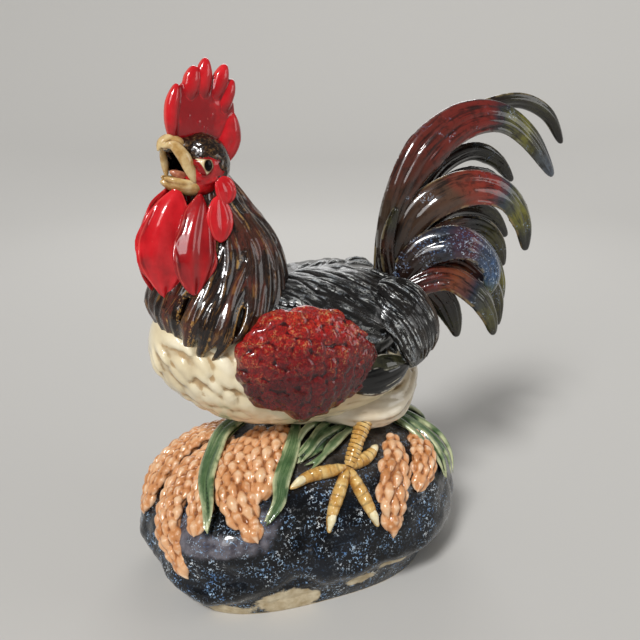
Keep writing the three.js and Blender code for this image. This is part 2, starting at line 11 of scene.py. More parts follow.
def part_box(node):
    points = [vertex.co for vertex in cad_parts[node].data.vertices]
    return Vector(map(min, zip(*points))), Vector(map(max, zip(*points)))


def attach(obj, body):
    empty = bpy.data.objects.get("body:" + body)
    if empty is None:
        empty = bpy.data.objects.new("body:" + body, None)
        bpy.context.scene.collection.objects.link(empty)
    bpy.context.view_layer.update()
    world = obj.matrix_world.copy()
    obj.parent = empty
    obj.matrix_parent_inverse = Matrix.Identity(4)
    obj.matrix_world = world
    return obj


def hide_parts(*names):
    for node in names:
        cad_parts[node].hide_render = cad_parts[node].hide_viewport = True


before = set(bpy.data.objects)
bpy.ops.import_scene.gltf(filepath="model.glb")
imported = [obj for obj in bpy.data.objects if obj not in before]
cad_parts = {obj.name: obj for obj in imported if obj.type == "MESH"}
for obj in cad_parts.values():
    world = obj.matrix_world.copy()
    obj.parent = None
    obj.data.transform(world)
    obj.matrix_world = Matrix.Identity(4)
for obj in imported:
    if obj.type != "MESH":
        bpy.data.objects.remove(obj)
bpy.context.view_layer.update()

rand = random.Random(11)
coarse = 1.0

# Everything below is in millimetres, X from the head to the tail and Y towards the bird's right.
# The rock's low corner ties these places to the frame.
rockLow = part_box("rock_base")[0]
frameShift = np.array([rockLow.x * 1000 + 123.578, rockLow.y * 1000 + 90.631, 0.0])
toFrame = Matrix.Scale(0.001, 4) @ Matrix.Translation(Vector(frameShift))

up = np.array([0.0, 0.0, 1.0])
rock = {"length": 257, "width": 176, "height": 110, "knoll": 13, "belt": 36, "tuck": 30,
        "corner": 2.7, "wall": 11, "shift": 6,
        # swells and hollows: turn, rise, reach round, reach up, and how far they stand out
        "lumps": [(226, 0.42, 22, 0.09, 4), (230, 0.24, 26, 0.07, -3.5), (243, 0.56, 9, 0.12, 3.5),
                  (262, 0.46, 13, 0.13, -3), (288, 0.34, 18, 0.1, 3.5), (316, 0.04, 34, 0.14, -6),
                  (340, 0.55, 14, 0.12, 3), (20, 0.4, 16, 0.12, -3), (60, 0.45, 20, 0.12, 4),
                  (98, 0.4, 16, 0.14, -3), (134, 0.35, 16, 0.1, 3.5), (176, 0.26, 18, 0.1, 3)]}
torso = {"length": 219, "width": 120, "height": 118, "middle": (-4, 0, 180)}
head = {"reach": 66, "rise": 148, "side": 4, "turn": 12, "length": 46, "width": 40, "height": 46}


def onTorso(u, v, w):
    half = np.array([torso["length"], torso["width"], torso["height"]]) / 2
    return np.array(torso["middle"]) + half * np.array([u, v, w])


def torsoRoute(*places):
    return [onTorso(*place) for place in places]


sides = {"Left": 1, "Right": -1}
headAngle = math.radians(head["turn"])
headCentre = np.array([torso["middle"][0] - head["reach"], -head["side"], torso["middle"][2] + head["rise"]])
headAhead = np.array([-math.cos(headAngle), -math.sin(headAngle), 0])
headLeft = np.array([math.sin(headAngle), -math.cos(headAngle), 0])


def onHead(ahead, left, high):
    return headCentre + ahead * headAhead + left * headLeft + high * up


# Curves and forms

def spread(stations, t):
    # a value that runs through evenly spaced stations
    values = np.asarray(stations, float)
    if values.ndim == 0:
        return np.full(np.shape(t), float(values))
    at = np.linspace(0, 1, len(values))
    if values.ndim == 1:
        return np.interp(t, at, values)
    return np.stack([np.interp(t, at, values[:, k]) for k in range(3)], -1)


def unit(vectors):
    return vectors / np.maximum(np.linalg.norm(vectors, axis=-1, keepdims=True), 1e-9)


class Spine:
    # a smooth curve through points, followed by its length
    def __init__(self, points, steps=10):
        p = np.asarray(points, float)
        ends = np.vstack([2 * p[0] - p[1], p, 2 * p[-1] - p[-2]])
        gaps = np.sqrt(np.maximum(np.linalg.norm(np.diff(ends, axis=0), axis=1), 1e-6))
        s = np.linspace(0, 1, steps, endpoint=False)[:, None]
        run = []
        for i in range(len(p) - 1):
            x0, x1, x2, x3 = ends[i:i + 4]
            d0, d1, d2 = gaps[i:i + 3]
            a = ((x1 - x0) / d0 - (x2 - x0) / (d0 + d1) + (x2 - x1) / d1) * d1
            b = ((x2 - x1) / d1 - (x3 - x1) / (d1 + d2) + (x3 - x2) / d2) * d1
            run.append(x1 + a * s + (3 * (x2 - x1) - 2 * a - b) * s ** 2 + (2 * (x1 - x2) + a + b) * s ** 3)
        run.append(p[-1:])
        self.run = np.vstack(run)
        length = np.r_[0, np.cumsum(np.linalg.norm(np.diff(self.run, axis=0), axis=1))]
        self.length = length[-1]
        self.share = length / length[-1]

    def at(self, t):
        return np.stack([np.interp(t, self.share, self.run[:, k]) for k in range(3)], -1)

    def heading(self, t):
        t = np.clip(t, 0.02, 0.98)
        return unit(self.at(t + 0.02) - self.at(t - 0.02))


class Form:
    # a ball bent along a spine, by the same rule as the part's solids
    def __init__(self, spine, wide, thick, face=up, blunt=2.0, grow=0.0):
        self.spine, self.face = Spine(spine), np.asarray(face, float)
        self.wide, self.thick, self.blunt, self.grow = wide, thick, blunt, grow

    def axes(self, t):
        heading = self.spine.heading(t)
        face = spread(self.face, t) if self.face.ndim == 2 else np.broadcast_to(self.face, heading.shape)
        normal = unit(face - heading * np.sum(face * heading, -1, keepdims=True))
        return heading, np.cross(normal, heading), normal

    def surface(self, t, turn, lift=0.0):
        t, a = np.asarray(t, float), np.radians(turn)
        y = 1 - 2 * np.clip(t, 0, 1)
        fill = np.maximum(1 - np.abs(y) ** self.blunt, 0) ** (1 / self.blunt)
        heading, across, normal = self.axes(t)
        wide = (spread(self.wide, t) + self.grow + lift) * fill * np.cos(a)
        thick = (spread(self.thick, t) + self.grow + lift) * fill * np.sin(a)
        return (self.spine.at(t) - heading * ((self.grow + lift) * y)[..., None]
                + across * wide[..., None] + normal * thick[..., None])

    def outward(self, t, turn):
        t = np.clip(np.asarray(t, float), 0.03, 0.97)
        turn = np.asarray(turn, float)
        climb = self.surface(t + 0.02, turn) - self.surface(t - 0.02, turn)
        sideways = self.surface(t, turn + 3) - self.surface(t, turn - 3)
        return unit(np.cross(sideways, climb))


def readAll(items, what, width, kind=np.float32):
    values = np.empty(len(items) * width, kind)
    items.foreach_get(what, values)
    return values.reshape(-1, width)


def cornersOf(mesh):
    return readAll(mesh.vertices, "co", 3).astype(float)


def writeMark(mesh, name, values):
    mesh.attributes.new(name, "FLOAT", "POINT").data.foreach_set("value", np.asarray(values, np.float32))


def placed(name, data):
    thing = bpy.data.objects.new(name, data)
    bpy.context.scene.collection.objects.link(thing)
    return thing


balls = {}


def ballOf(rings, around):
    # a plain ball, made once for each fineness, with its share along, turn and side at every corner
    if (rings, around) not in balls:
        bm = bmesh.new()
        bmesh.ops.create_uvsphere(bm, u_segments=around, v_segments=rings, radius=1)
        ball = bpy.data.meshes.new("ball")
        bm.to_mesh(ball)
        bm.free()
        place = cornersOf(ball)
        t = np.clip((1 - place[:, 2]) / 2, 0, 1)
        turn = np.degrees(np.arctan2(place[:, 1], place[:, 0]))
        side = np.cos(np.radians(turn)) * (np.hypot(place[:, 0], place[:, 1]) > 1e-3)
        for name, values in (("along", t), ("across", side), ("pick", t), ("zone", t)):
            writeMark(ball, name, values)
        balls[(rings, around)] = (ball, t, turn, side)
    return balls[(rings, around)]


def overRidge(side, *places):
    # a route whose turns count from the ridge on top, down the side given
    return [(t, 90 + side * turn) for t, turn in places]


class Clay:
    # one piece while it is soft: balls, strands and grains pressed together
    marks = ("along", "across", "pick", "zone")

    def __init__(self):
        self.bm = bmesh.new()
        self.layers = [self.bm.verts.layers.float.new(name) for name in self.marks]

    def press(self, form, rings=10, around=8, zone=0, pick=None, relief=None):
        ball, t, turn, side = ballOf(rings, around)
        place = form.surface(t, turn)
        if relief is not None:
            place = place + form.axes(t)[2] * relief(t, side, np.sin(np.radians(turn)))[:, None]
        ball.vertices.foreach_set("co", place.astype(np.float32).ravel())
        pick = rand.random() if pick is None else pick
        for name, value in (("pick", pick), ("zone", zone)):
            ball.attributes[name].data.foreach_set("value", np.full(len(t), value, np.float32))
        self.bm.from_mesh(ball)

    def strand(self, skin, route, wide, thick, lift=0.0, rings=12, around=8, blunt=2.2, zone=1, relief=None,
               pick=None):
        route = np.asarray(route, float)
        share = np.linspace(0, 1, len(route))
        out = skin.outward(route[:, 0], route[:, 1])
        points = skin.surface(route[:, 0], route[:, 1]) + out * spread(lift, share)[:, None]
        self.press(Form(points, wide, thick, out, blunt), rings, around, zone, pick, relief)


def meshOf(name, clay):
    mesh = bpy.data.meshes.new(name)
    clay.bm.normal_update()
    clay.bm.to_mesh(mesh)
    mesh.transform(toFrame)
    return mesh


def fused(body, voxel):
    step = body.modifiers.new("fuse", "REMESH")
    step.mode = "VOXEL"
    step.voxel_size = voxel * 0.001


def settled(mesh, name, voxel, soften, cutter=None):
    # fuses the pressed clay into one skin, cuts it, and softens it as slip and glaze do
    body = placed(name, mesh)
    fused(body, voxel)
    if cutter:
        knife = placed("knife", cutter)
        fused(knife, voxel)
        cut = body.modifiers.new("cut", "BOOLEAN")
        cut.operation, cut.solver, cut.object = "DIFFERENCE", "MANIFOLD", knife
        fused(body, voxel)
    soft = body.modifiers.new("soften", "SMOOTH")
    soft.factor = 0.5
    soft.iterations = soften
    seen = body.evaluated_get(bpy.context.evaluated_depsgraph_get())
    made = bpy.data.meshes.new_from_object(seen)
    bpy.data.objects.remove(body)
    if cutter:
        bpy.data.objects.remove(knife)
    return made


def carryMarks(raws, made):
    # each mark is read at the nearest place of the clay as it was pressed
    corners, places, marks, start = [], [], {name: [] for name in Clay.marks}, 0
    for raw in raws:
        raw.calc_loop_triangles()
        corners.append(readAll(raw.loop_triangles, "vertices", 3, np.int32) + start)
        places.append(cornersOf(raw))
        start += len(raw.vertices)
        for name in Clay.marks:
            marks[name].append(readAll(raw.attributes[name].data, "value", 1)[:, 0])
    corners, places = np.vstack(corners), np.vstack(places)
    tree = BVHTree.FromPolygons(places.tolist(), corners.tolist())
    targets = cornersOf(made)
    index = np.zeros(len(targets), int)
    hit = np.zeros((len(targets), 3))
    for i, where in enumerate(targets):
        spot, _, face, _ = tree.find_nearest(where)
        index[i] = face
        hit[i] = spot
    a, b, c = (places[corners[index, k]] for k in range(3))
    v0, v1, v2 = b - a, c - a, hit - a
    d00, d01, d11 = (v0 * v0).sum(1), (v0 * v1).sum(1), (v1 * v1).sum(1)
    d20, d21 = (v2 * v0).sum(1), (v2 * v1).sum(1)
    bottom = np.maximum(d00 * d11 - d01 * d01, 1e-24)
    second = np.clip((d11 * d20 - d01 * d21) / bottom, 0, 1)
    third = np.clip((d00 * d21 - d01 * d20) / bottom, 0, 1)
    weights = np.stack([1 - second - third, second, third], -1)
    for name in Clay.marks:
        writeMark(made, name, (np.concatenate(marks[name])[corners[index]] * weights).sum(1))


def markRelief(made):
    # dip is the height above the close surroundings and swell above the wider ones, in millimetres
    places = cornersOf(made)
    first, second = readAll(made.edges, "vertices", 2, np.int32).T
    pull = np.r_[first, second]
    push = np.r_[second, first]
    count = np.maximum(np.bincount(pull, minlength=len(places)), 1)
    out = readAll(made.vertices, "normal", 3)
    flat, names = places.copy(), {8: "dip", 40: "swell"}         # rounds of levelling
    for step in range(1, max(names) + 1):
        flat = np.stack([np.bincount(pull, flat[push, k], len(places)) for k in range(3)], -1)
        flat = flat / count[:, None]
        if step in names:
            writeMark(made, names[step], ((places - flat) * out).sum(1) * 1000)


def finished(name, mesh, finish, nodes):
    mesh.name = name
    mesh.polygons.foreach_set("use_smooth", [True] * len(mesh.polygons))
    mesh.materials.clear()
    mesh.materials.append(finishes[finish])
    piece = placed(name, mesh)
    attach(piece, "root")
    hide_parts(*nodes)
    print(f"{name}: {len(mesh.polygons) * 2} triangles")


def crinkled(made, crinkles):
    # pushes the skin in and out unevenly
    places = cornersOf(made)
    push = [sum(deep * noise.noise(Vector(where) * (1000 / size)) for size, deep in crinkles)
            for where in places]
    places += readAll(made.vertices, "normal", 3) * (np.array(push)[:, None] * 0.001)
    made.vertices.foreach_set("co", places.astype(np.float32).ravel())
    made.update()


# for each kind of piece: its finish, its slot, how finely its clay is fused (mm), and rounds of smoothing
kinds = {
    "body": ("cream", "cream_glaze", 1.3, 2), "fluff": ("fluff", "cream_glaze", 1.25, 2),
    "cape": ("hackle", "hackle_glaze", 1.0, 1), "wing": ("wing", "wing_glaze", 0.8, 1),
    "flight": ("flight", "flight_glaze", 0.7, 1), "back": ("saddle", "saddle_glaze", 1.06, 1),
    "saddleHackle": ("saddle", "saddle_glaze", 0.8, 1), "tail": ("tail", "tail_glaze", 0.96, 1),
    "beak": ("beak", "ochre_glaze", 0.55, 3), "tongue": ("tongue", "red_glaze", 0.55, 2),
    "skull": ("face", "red_glaze", 0.6, 1), "eye": ("eye", "eye_glaze", 0.4, 1),
    "comb": ("red", "red_glaze", 0.7, 2), "wattle": ("red", "red_glaze", 0.7, 3),
    "jowl": ("shadedRed", "red_glaze", 0.7, 3), "lobe": ("red", "red_glaze", 0.6, 2),
    "leg": ("ochre", "ochre_glaze", 0.65, 1), "rice": ("grain", "grain_glaze", 0.8, 1),
    "leaf": ("leaf", "leaf_glaze", 0.8, 1),
}


def fire(name, clay, kind, nodes, mirror=None, cutter=None, crinkles=(), glaze=None):
    finish, slot, voxel, soften = kinds[kind]
    finish = glaze or finish
    raw = meshOf(name, clay)
    knife = meshOf("cut", cutter) if cutter else None
    made = settled(raw, name, voxel * coarse, soften, knife)
    if crinkles:
        crinkled(made, crinkles)
    carryMarks([raw, knife] if knife else [raw], made)
    markRelief(made)
    if mirror:
        other = made.copy()
        middle = Matrix.Translation((0, frameShift[1] * 0.001, 0))
        other.transform(middle @ Matrix.Scale(-1, 4, (0, 1, 0)) @ middle.inverted())
        other.flip_normals()
        finished(mirror[0], other, finish, mirror[1])
    finished(name, made, finish, nodes)


# Finishes

def tone(code, alpha=1.0):
    parts = [int(code[i:i + 2], 16) / 255 for i in (0, 2, 4)]
    return tuple(c / 12.92 if c < 0.04045 else ((c + 0.055) / 1.055) ** 2.4 for c in parts) + (alpha,)


class Flow:
    # a socket of a material's nodes, with arithmetic
    def __init__(self, recipe, socket):
        self.recipe, self.socket = recipe, socket

    def maths(self, operation, first, second=0.0):
        return self.recipe.node("ShaderNodeMath", {"operation": operation}, {0: first, 1: second})

    def __neg__(self):
        return self.maths("MULTIPLY", self, -1.0)

    def sine(self):
        return self.maths("SINE", self)

    def size(self):
        return self.maths("ABSOLUTE", self)

    def step(self, low, high):
        # 0 below low, 1 above high, and smooth between; low may be the greater
        settings = {"interpolation_type": "SMOOTHSTEP"}
        ends = (0.0, 1.0) if low <= high else (1.0, 0.0)
        sockets = {0: self, 1: min(low, high), 2: max(low, high), 3: ends[0], 4: ends[1]}
        return self.recipe.node("ShaderNodeMapRange", settings, sockets)


# arithmetic with the socket on either side of the sign
for sign, operation in (("add", "ADD"), ("sub", "SUBTRACT"), ("mul", "MULTIPLY"), ("truediv", "DIVIDE"),
                        ("pow", "POWER")):
    setattr(Flow, f"__{sign}__", lambda one, other, kind=operation: one.maths(kind, one, other))
    setattr(Flow, f"__r{sign}__", lambda one, other, kind=operation: one.maths(kind, other, one))


class Recipe:
    # the nodes of one glaze; body is its colour so far
    def __init__(self, name):
        self.material = bpy.data.materials.new(name)
        self.material.use_nodes = True
        self.tree = self.material.node_tree
        self.tree.nodes.clear()

    def node(self, kind, settings=None, sockets=None, output=0):
        made = self.tree.nodes.new(kind)
        for key, value in (settings or {}).items():
            if key == "stops":
                ramp = made.color_ramp
                while len(ramp.elements) < len(value):
                    ramp.elements.new(0.5)
                for element, (place, colour) in zip(ramp.elements, value):
                    element.position = place
                    element.color = colour
            else:
                setattr(made, key, value)
        for key, value in (sockets or {}).items():
            if isinstance(value, Flow):
                self.tree.links.new(value.socket, made.inputs[key])
            else:
                made.inputs[key].default_value = value
        return None if output is None else Flow(self, made.outputs[output])

    def mark(self, name):
        return self.node("ShaderNodeAttribute", {"attribute_name": name}, {}, 2)

    def place(self):
        return self.node("ShaderNodeTexCoord", {}, {}, 3)

    def coordinate(self, axis):
        return self.node("ShaderNodeSeparateXYZ", {}, {0: self.place()}, "XYZ".index(axis)) * 1000.0

    def combed(self, long, wide):
        # millimetres along a strand and across it, with a place of its own for each strand
        sockets = {0: self.mark("along") * (long * 0.001), 1: self.mark("across") * (wide * 0.001),
                   2: self.mark("pick") * 3.0}
        return self.node("ShaderNodeCombineXYZ", {}, sockets)

    def warped(self, size, reach):
        # places pushed about by noise, so that a pattern there winds
        push = self.node("ShaderNodeTexNoise", {}, {0: self.place(), 2: 1000.0 / size, 3: 2.0}, 1)
        reach *= 0.001
        return self.node("ShaderNodeVectorMath", {"operation": "MULTIPLY_ADD"},
                         {0: push, 1: (reach, reach, reach), 2: self.place()})

    def cloud(self, size, detail=3.0, where=None, rough=0.55):
        # noise whose features measure about size millimetres
        sockets = {0: where or self.place(), 2: 1000.0 / size, 3: detail, 4: rough}
        return self.node("ShaderNodeTexNoise", {"noise_dimensions": "3D"}, sockets)

    def drift(self, reach, size, detail=3.0):
        # pushes a value up and down by half of reach
        return (self.cloud(size, detail) - 0.5) * reach

    def thread(self, size, detail, warp, edge, rough=0.55):
        # fine lines that wind where a noise passes its middle
        return (self.cloud(size, detail, self.warped(*warp), rough) - 0.5).size().step(*edge)

    def clouded(self, size, detail, stops):
        return self.graded(self.cloud(size, detail), stops)

    def mixed(self, first, second, share):
        first, second = (tone(c) if isinstance(c, str) else c for c in (first, second))
        return self.node("ShaderNodeMix", {"data_type": "RGBA"}, {0: share, 6: first, 7: second}, 2)

    def over(self, colour, share):
        self.body = self.mixed(self.body, colour, share)

    def graded(self, value, stops):
        stops = [(place, tone(code)) for place, code in stops]
        return self.node("ShaderNodeValToRGB", {"stops": stops}, {0: value})

    def glazed(self, rough, height, depth=0.2, coat=0.9, coatRough=0.05):
        # a clear coat over the body's colour; height is a relief, depth its scale in millimetres
        bump = self.node("ShaderNodeBump", {}, {"Strength": 1.0, "Distance": depth * 0.001, "Height": height})
        sockets = {"Base Color": self.body, "Roughness": rough, "Coat Weight": coat,
                   "Coat Roughness": coatRough, "Coat IOR": 1.5, "Specular IOR Level": 0.12, "Normal": bump}
        surface = self.node("ShaderNodeBsdfPrincipled", {}, sockets)
        self.node("ShaderNodeOutputMaterial", {}, {0: surface}, None)
        return self.material


rockColours = {
    "glaze": [(0.3, "010203"), (0.5, "05070c"), (0.72, "0e141d")],
    "crown": [(0.3, "1b1815"), (0.7, "544d46")],        # thinner, browner glaze over the top
    "veil": [(0.3, "45404c"), (0.7, "a5a0a8")],         # pale glaze pooled on the smooth ridges
    "fleck": [(0.34, "5d8ac0"), (0.52, "9dbbd8"), (0.68, "d8dde0")],
    "bare": [(0.3, "b09c7a"), (0.7, "e0d3b6")],         # unglazed clay
    "fleckSize": 3.2,
}


def rockFinish():
    r, look = Recipe("rockGlaze"), rockColours
    high = r.coordinate("Z")
    r.body = r.clouded(26, 4, look["glaze"])
    crown = (high + r.drift(50.0, 40, 2)).step(86, 106)
    r.over(r.clouded(16, 4, look["crown"]), crown * 0.85)
    veil = (r.mark("veil") + r.drift(0.8, 9, 4)).step(0.3, 0.85)
    r.over(r.clouded(10, 3, look["veil"]), veil * 0.5)
    thread = r.thread(look["fleckSize"], 2, (5, 4), (0.075, 0.02))
    broken = r.cloud(2.2, 2, rough=0.7).step(0.5, 0.6)
    crowd = (r.cloud(17, 3) + high.step(26, 8) * 0.08).step(0.43, 0.58)
    dash = thread * broken * (0.08 + crowd * 0.92) * (1.0 - crown * 0.7)
    r.over(r.clouded(11, 2, look["fleck"]), dash)
    bare = (r.mark("bare") + r.drift(0.7, 7, 4)).step(0.42, 0.62)
    r.over(r.clouded(9, 4, look["bare"]), bare)
    rough = 0.22 + r.cloud(8, 3) * 0.12 + bare * 0.4
    return r.glazed(rough, r.cloud(2.6, 4) + dash * 0.5, 0.35, 0.6 - bare * 0.56)


def creamFinish(name, stops, crease, rust):
    r = Recipe(name)
    dip, swell = r.mark("dip"), r.mark("swell")
    # lighter over swells and darker in wide hollows: painted light and shade
    r.body = r.graded(r.cloud(34, 3) + swell * 0.09, stops)
    # the creases take the crease colour: glaze pooled there, and painted shade
    glazePoolAndShade = (-dip + r.drift(0.2, 6, 3)).step(0.05, 0.42)
    r.over(r.clouded(9, 3, crease), glazePoolAndShade * (0.35 + r.cloud(26, 2).step(0.4, 0.6) * 0.35))
    spots = (r.cloud(17, 4, rough=0.65) - dip * 0.35).step(0.62, 0.72)
    r.over(rust, spots * 0.5)
    return r.glazed(0.26 + r.cloud(6, 2) * 0.1, r.cloud(2.5, 3), 0.1)


def hackleFinish():
    r = Recipe("hackleGlaze")
    across, pick, dip = r.mark("across").size(), r.mark("pick"), r.mark("dip")
    streak = r.cloud(2.0, 4, r.combed(14, 5), 0.65)
    r.body = r.graded(streak * 0.6 + pick * 0.4, [(0.28, "120906"), (0.5, "2a1810"), (0.75, "4a2c1e")])
    warm = (r.cloud(20, 2) + pick * 0.3).step(0.62, 0.84) * across.step(0.8, 0.3)
    r.over("64281c", warm * 0.6)
    gilt = r.mark("zone").step(1.2, 1.7) * dip.step(-0.1, 0.12)
    gilt = gilt * (r.cloud(1.6, 2) + (r.cloud(12, 2) - 0.5)).step(0.34, 0.5)
    edge = r.mark("zone").step(0.4, 0.8) * dip.step(0.0, 0.2)
    edge = edge * (streak + r.drift(0.7, 9, 2)).step(0.52, 0.62)
    r.over("8a6232", edge * 0.5)
    r.over(r.graded(streak, [(0.35, "7c5526"), (0.62, "c99f5c")]), gilt * 0.85)
    # near black in the grooves between locks and hairs: painted shade
    r.over("040202", (-dip).step(0.1, 0.45) * 0.9)
    return r.glazed(0.2 + streak * 0.16, streak, 0.3)


def redFinish(name, stops, crease, rim):
    # zone 2, the comb's recessed blade, and the roots of the points are painted a deeper red as shade; the
    # points rise from it and grow bright
    r = Recipe(name)
    across, dip, swell, zone = r.mark("across").size(), r.mark("dip"), r.mark("swell"), r.mark("zone")
    # lighter over swells and darker in wide hollows: painted light and shade
    r.body = r.graded(r.cloud(16, 3) + swell * 0.1, stops)
    recessShade = zone.step(1.2, 1.9) + zone.step(0.5, 0.1) * r.mark("along").step(0.5, 0.15)
    r.over("7c0a12", recessShade * r.cloud(14, 3).step(0.25, 0.5) * 0.75)
    r.over(rim, across.step(0.84, 0.98) * dip.step(-0.02, 0.16) * 0.55)
    # the creases take the crease colour: painted shade
    r.over(crease, (-dip).step(0.05, 0.4) * 0.8)
    r.over("e07868", r.cloud(2.4, 2).step(0.72, 0.8) * 0.4)
    return r.glazed(0.18 + r.cloud(5, 2) * 0.1, r.cloud(4, 3), 0.2)


def wingFinish():
    r = Recipe("wingGlaze")
    dip, pick = r.mark("dip"), r.mark("pick")
    long, wide = r.mark("along") * 15.0 - 8.0, r.mark("across") * 6.0
    ring = ((long * long + wide * wide) ** 0.5 * 3.4 + r.drift(22.0, 4, 3)).sine()
    grain = r.cloud(1.8, 4, rough=0.7) * 0.94 + ring * 0.04 + 0.02
    high = (r.coordinate("Z") + r.drift(50.0, 24, 2)).step(176, 232)
    r.body = r.graded(grain * 0.4 + high * 0.5 + pick * 0.1,
                      [(0.14, "3a0508"), (0.34, "6c0a10"), (0.6, "a01614"), (0.9, "c42c1e")])
    r.over("6c4348", (r.cloud(13, 3) + high * 0.2).step(0.66, 0.8) * r.cloud(2.2, 3).step(0.4, 0.6) * 0.45)
    thread = r.thread(3.4, 2, (4, 5), (0.07, 0.02))
    fleck = thread * dip.step(-0.16, 0.06) * (0.06 + high * 0.94)
    fleck = fleck * (r.cloud(12, 3) + pick * 0.12).step(0.46, 0.6)
    sprinkled = r.clouded(5, 2, [(0.4, "b04a24"), (0.62, "d6a066")])
    r.over(sprinkled, fleck * r.cloud(2.6, 2).step(0.38, 0.5) * 0.85)
    dark = r.thread(3.8, 3, (6, 6), (0.06, 0.015), 0.7)
    r.over("220306", dark * 0.55)
    # near black in the hollows: painted shade
    r.over("1c0204", (-dip).step(0.04, 0.3) * 0.85)
    return r.glazed(0.18 + grain * 0.14, grain + ring * 0.12 + dark * -0.3, 0.4)


def flightFinish():
    r = Recipe("flightGlaze")
    across, dip, zone = r.mark("across").size(), r.mark("dip"), r.mark("zone")
    r.body = r.clouded(9, 3, [(0.3, "020203"), (0.7, "0b0a09")])
    r.over(r.clouded(8, 4, [(0.3, "141410"), (0.7, "3a3926")]), zone.step(1.6, 1.9))
    edge = across.step(0.62, 0.82) * dip.step(-0.1, 0.08) * r.cloud(9, 2).step(0.38, 0.52)
    r.over("b3ae9e", edge * 0.8)
    return r.glazed(0.16 + r.cloud(7, 2) * 0.1, r.cloud(3, 3), 0.12)


def saddleFinish():
    r = Recipe("saddleGlaze")
    pick, dip = r.mark("pick"), r.mark("dip")
    streak = r.cloud(1.5, 4, r.combed(9, 4), 0.7)
    rear = (r.coordinate("X") + r.drift(40.0, 20, 2)).step(10, 60)
    r.body = r.graded(streak * 0.7 + pick * 0.3, [(0.3, "050505"), (0.55, "131110"), (0.8, "2b2622")])
    r.over(r.graded(streak, [(0.35, "321e10"), (0.7, "8a6238")]), rear * pick.step(0.3, 0.7) * 0.85)
    stroke = (streak + r.drift(0.5, 12, 2)).step(0.5, 0.58) * dip.step(0.0, 0.14)
    stroke = stroke * r.cloud(1.3, 2).step(0.36, 0.5)
    silver = r.clouded(5, 2, [(0.35, "868e96"), (0.65, "dcddd8")])
    gold = r.clouded(5, 2, [(0.35, "7d5528"), (0.65, "c79c62")])
    r.over(r.mixed(silver, gold, rear * pick.step(0.5, 0.7)), stroke * 0.8)
    # near black in the grooves: painted shade
    r.over("030202", (-dip).step(0.05, 0.28) * 0.85)
    return r.glazed(0.26 + streak * 0.16, streak, 0.25, 0.6, 0.12)


# Each tail glaze runs from the feather's root to its tip: its colours, the rim's colour, how widely
# blue-white flecks lie over it, and how much of it stays near black
tailGlazes = {
    "sickle": ([(0.04, "17100c"), (0.28, "3a2c20"), (0.42, "4e241b"), (0.58, "66241d"), (0.7, "6e211b"),
                (0.76, "23262c"), (0.83, "6b6826"), (0.9, "302f1c"), (1.0, "4a525c")], "8d8d88", -0.02, 0.4),
    "red": ([(0.04, "1c120d"), (0.25, "3c2a1e"), (0.42, "50392c"), (0.54, "7c2d20"), (0.63, "7c231a"),
             (0.7, "2a343e"), (0.82, "6b6826"), (0.92, "27281f"), (1.0, "1b1d20")], "b59a6c", 0.02, 0.36),
    "blue": ([(0.04, "1d120e"), (0.25, "2b1c17"), (0.42, "262d3a"), (0.54, "4e2229"), (0.66, "26324a"),
              (0.84, "3a5474"), (0.94, "4e522b"), (1.0, "24241f")], "b0a07c", 0.22, 0.4),
    "brown": ([(0.04, "130c08"), (0.3, "2b1c14"), (0.5, "3a2218"), (0.72, "1f1813"), (0.86, "35341e"),
               (1.0, "15130f")], "8a7a58", -0.04, 0.6),
    "gold": ([(0.04, "2a170e"), (0.3, "59201a"), (0.46, "6e3c26"), (0.62, "252b38"), (0.78, "4c4a24"),
              (1.0, "1b1712")], "a8905e", 0.02, 0.45),
}


def tailFinish(name, stops, rim, speckle, dark):
    r = Recipe(name + "Tail")
    along, across, pick, dip = r.mark("along"), r.mark("across").size(), r.mark("pick"), r.mark("dip")
    streak = r.cloud(2.4, 4, r.combed(22, 12), 0.65)
    where = along + r.drift(0.22, 18, 3) + (pick - 0.5) * 0.06
    r.body = r.graded(where, stops)
    r.over("060404", (streak + r.drift(0.5, 20, 2)).step(0.62 - dark * 0.3, 0.8 - dark * 0.3) * 0.8)
    fleck = r.cloud(1.7, 3, rough=0.75).step(0.54, 0.64)
    fleck = fleck * (r.cloud(16, 2) + along * 0.1).step(0.66 - speckle, 0.76 - speckle)
    r.over(r.clouded(6, 2, [(0.38, "44689a"), (0.62, "c6d4e4")]), fleck * 0.8)
    r.over("1c120e", r.cloud(7, 4, rough=0.65).step(0.5, 0.66) * 0.5)
    r.over(rim, across.step(0.84, 1.0) * dip.step(0.02, 0.24) * r.cloud(9, 3).step(0.42, 0.58) * 0.6)
    # near black in the grooves: painted shade
    r.over("040303", (-dip).step(0.1, 0.5) * 0.85)
    # zone 2, the web in the hollow under a feather, near black: painted shade
    r.over(r.graded(streak, [(0.4, "060505"), (0.7, "241a12")]), r.mark("zone").step(1.4, 1.8))
    return r.glazed(0.18 + streak * 0.16, streak, 0.3)


mostLines = 20          # cross lines on a toe or shank whose pick is 1


def ochreFinish(name, stops, claw):
    # zone 1 has painted cross lines, as many as its pick times mostLines; zone 2 is claw, zone 3 the gape,
    # painted black as shade
    r = Recipe(name)
    along, pick, dip, zone = r.mark("along"), r.mark("pick"), r.mark("dip"), r.mark("zone")
    # lighter over swells and darker in wide hollows: painted light and shade
    r.body = r.graded(r.cloud(8, 4) + r.mark("swell") * 0.12, stops)
    # the hollows take a dark brown: glaze pooled there, and painted shade
    poolAndShade = (-dip + r.drift(0.16, 4, 3)).step(0.04, 0.3)
    r.over("4a2b0e", poolAndShade * 0.8)
    wave = (along * pick * (mostLines * 2 * math.pi) + r.drift(3.0, 7, 2) + r.mark("across") * 0.6).sine()
    ringed = zone.step(0.5, 0.9) * zone.step(1.5, 1.1)
    r.over("3a1d0a", wave.step(0.6, 0.95) * r.cloud(4, 3).step(0.36, 0.54) * ringed * 0.95)
    r.over(r.clouded(5, 3, claw), zone.step(1.6, 1.9))
    # zone 3, the gape, black: painted shade
    r.over("030202", zone.step(2.5, 2.8))
    return r.glazed(0.22 + r.cloud(5, 2) * 0.1, r.cloud(2.5, 3), 0.12)


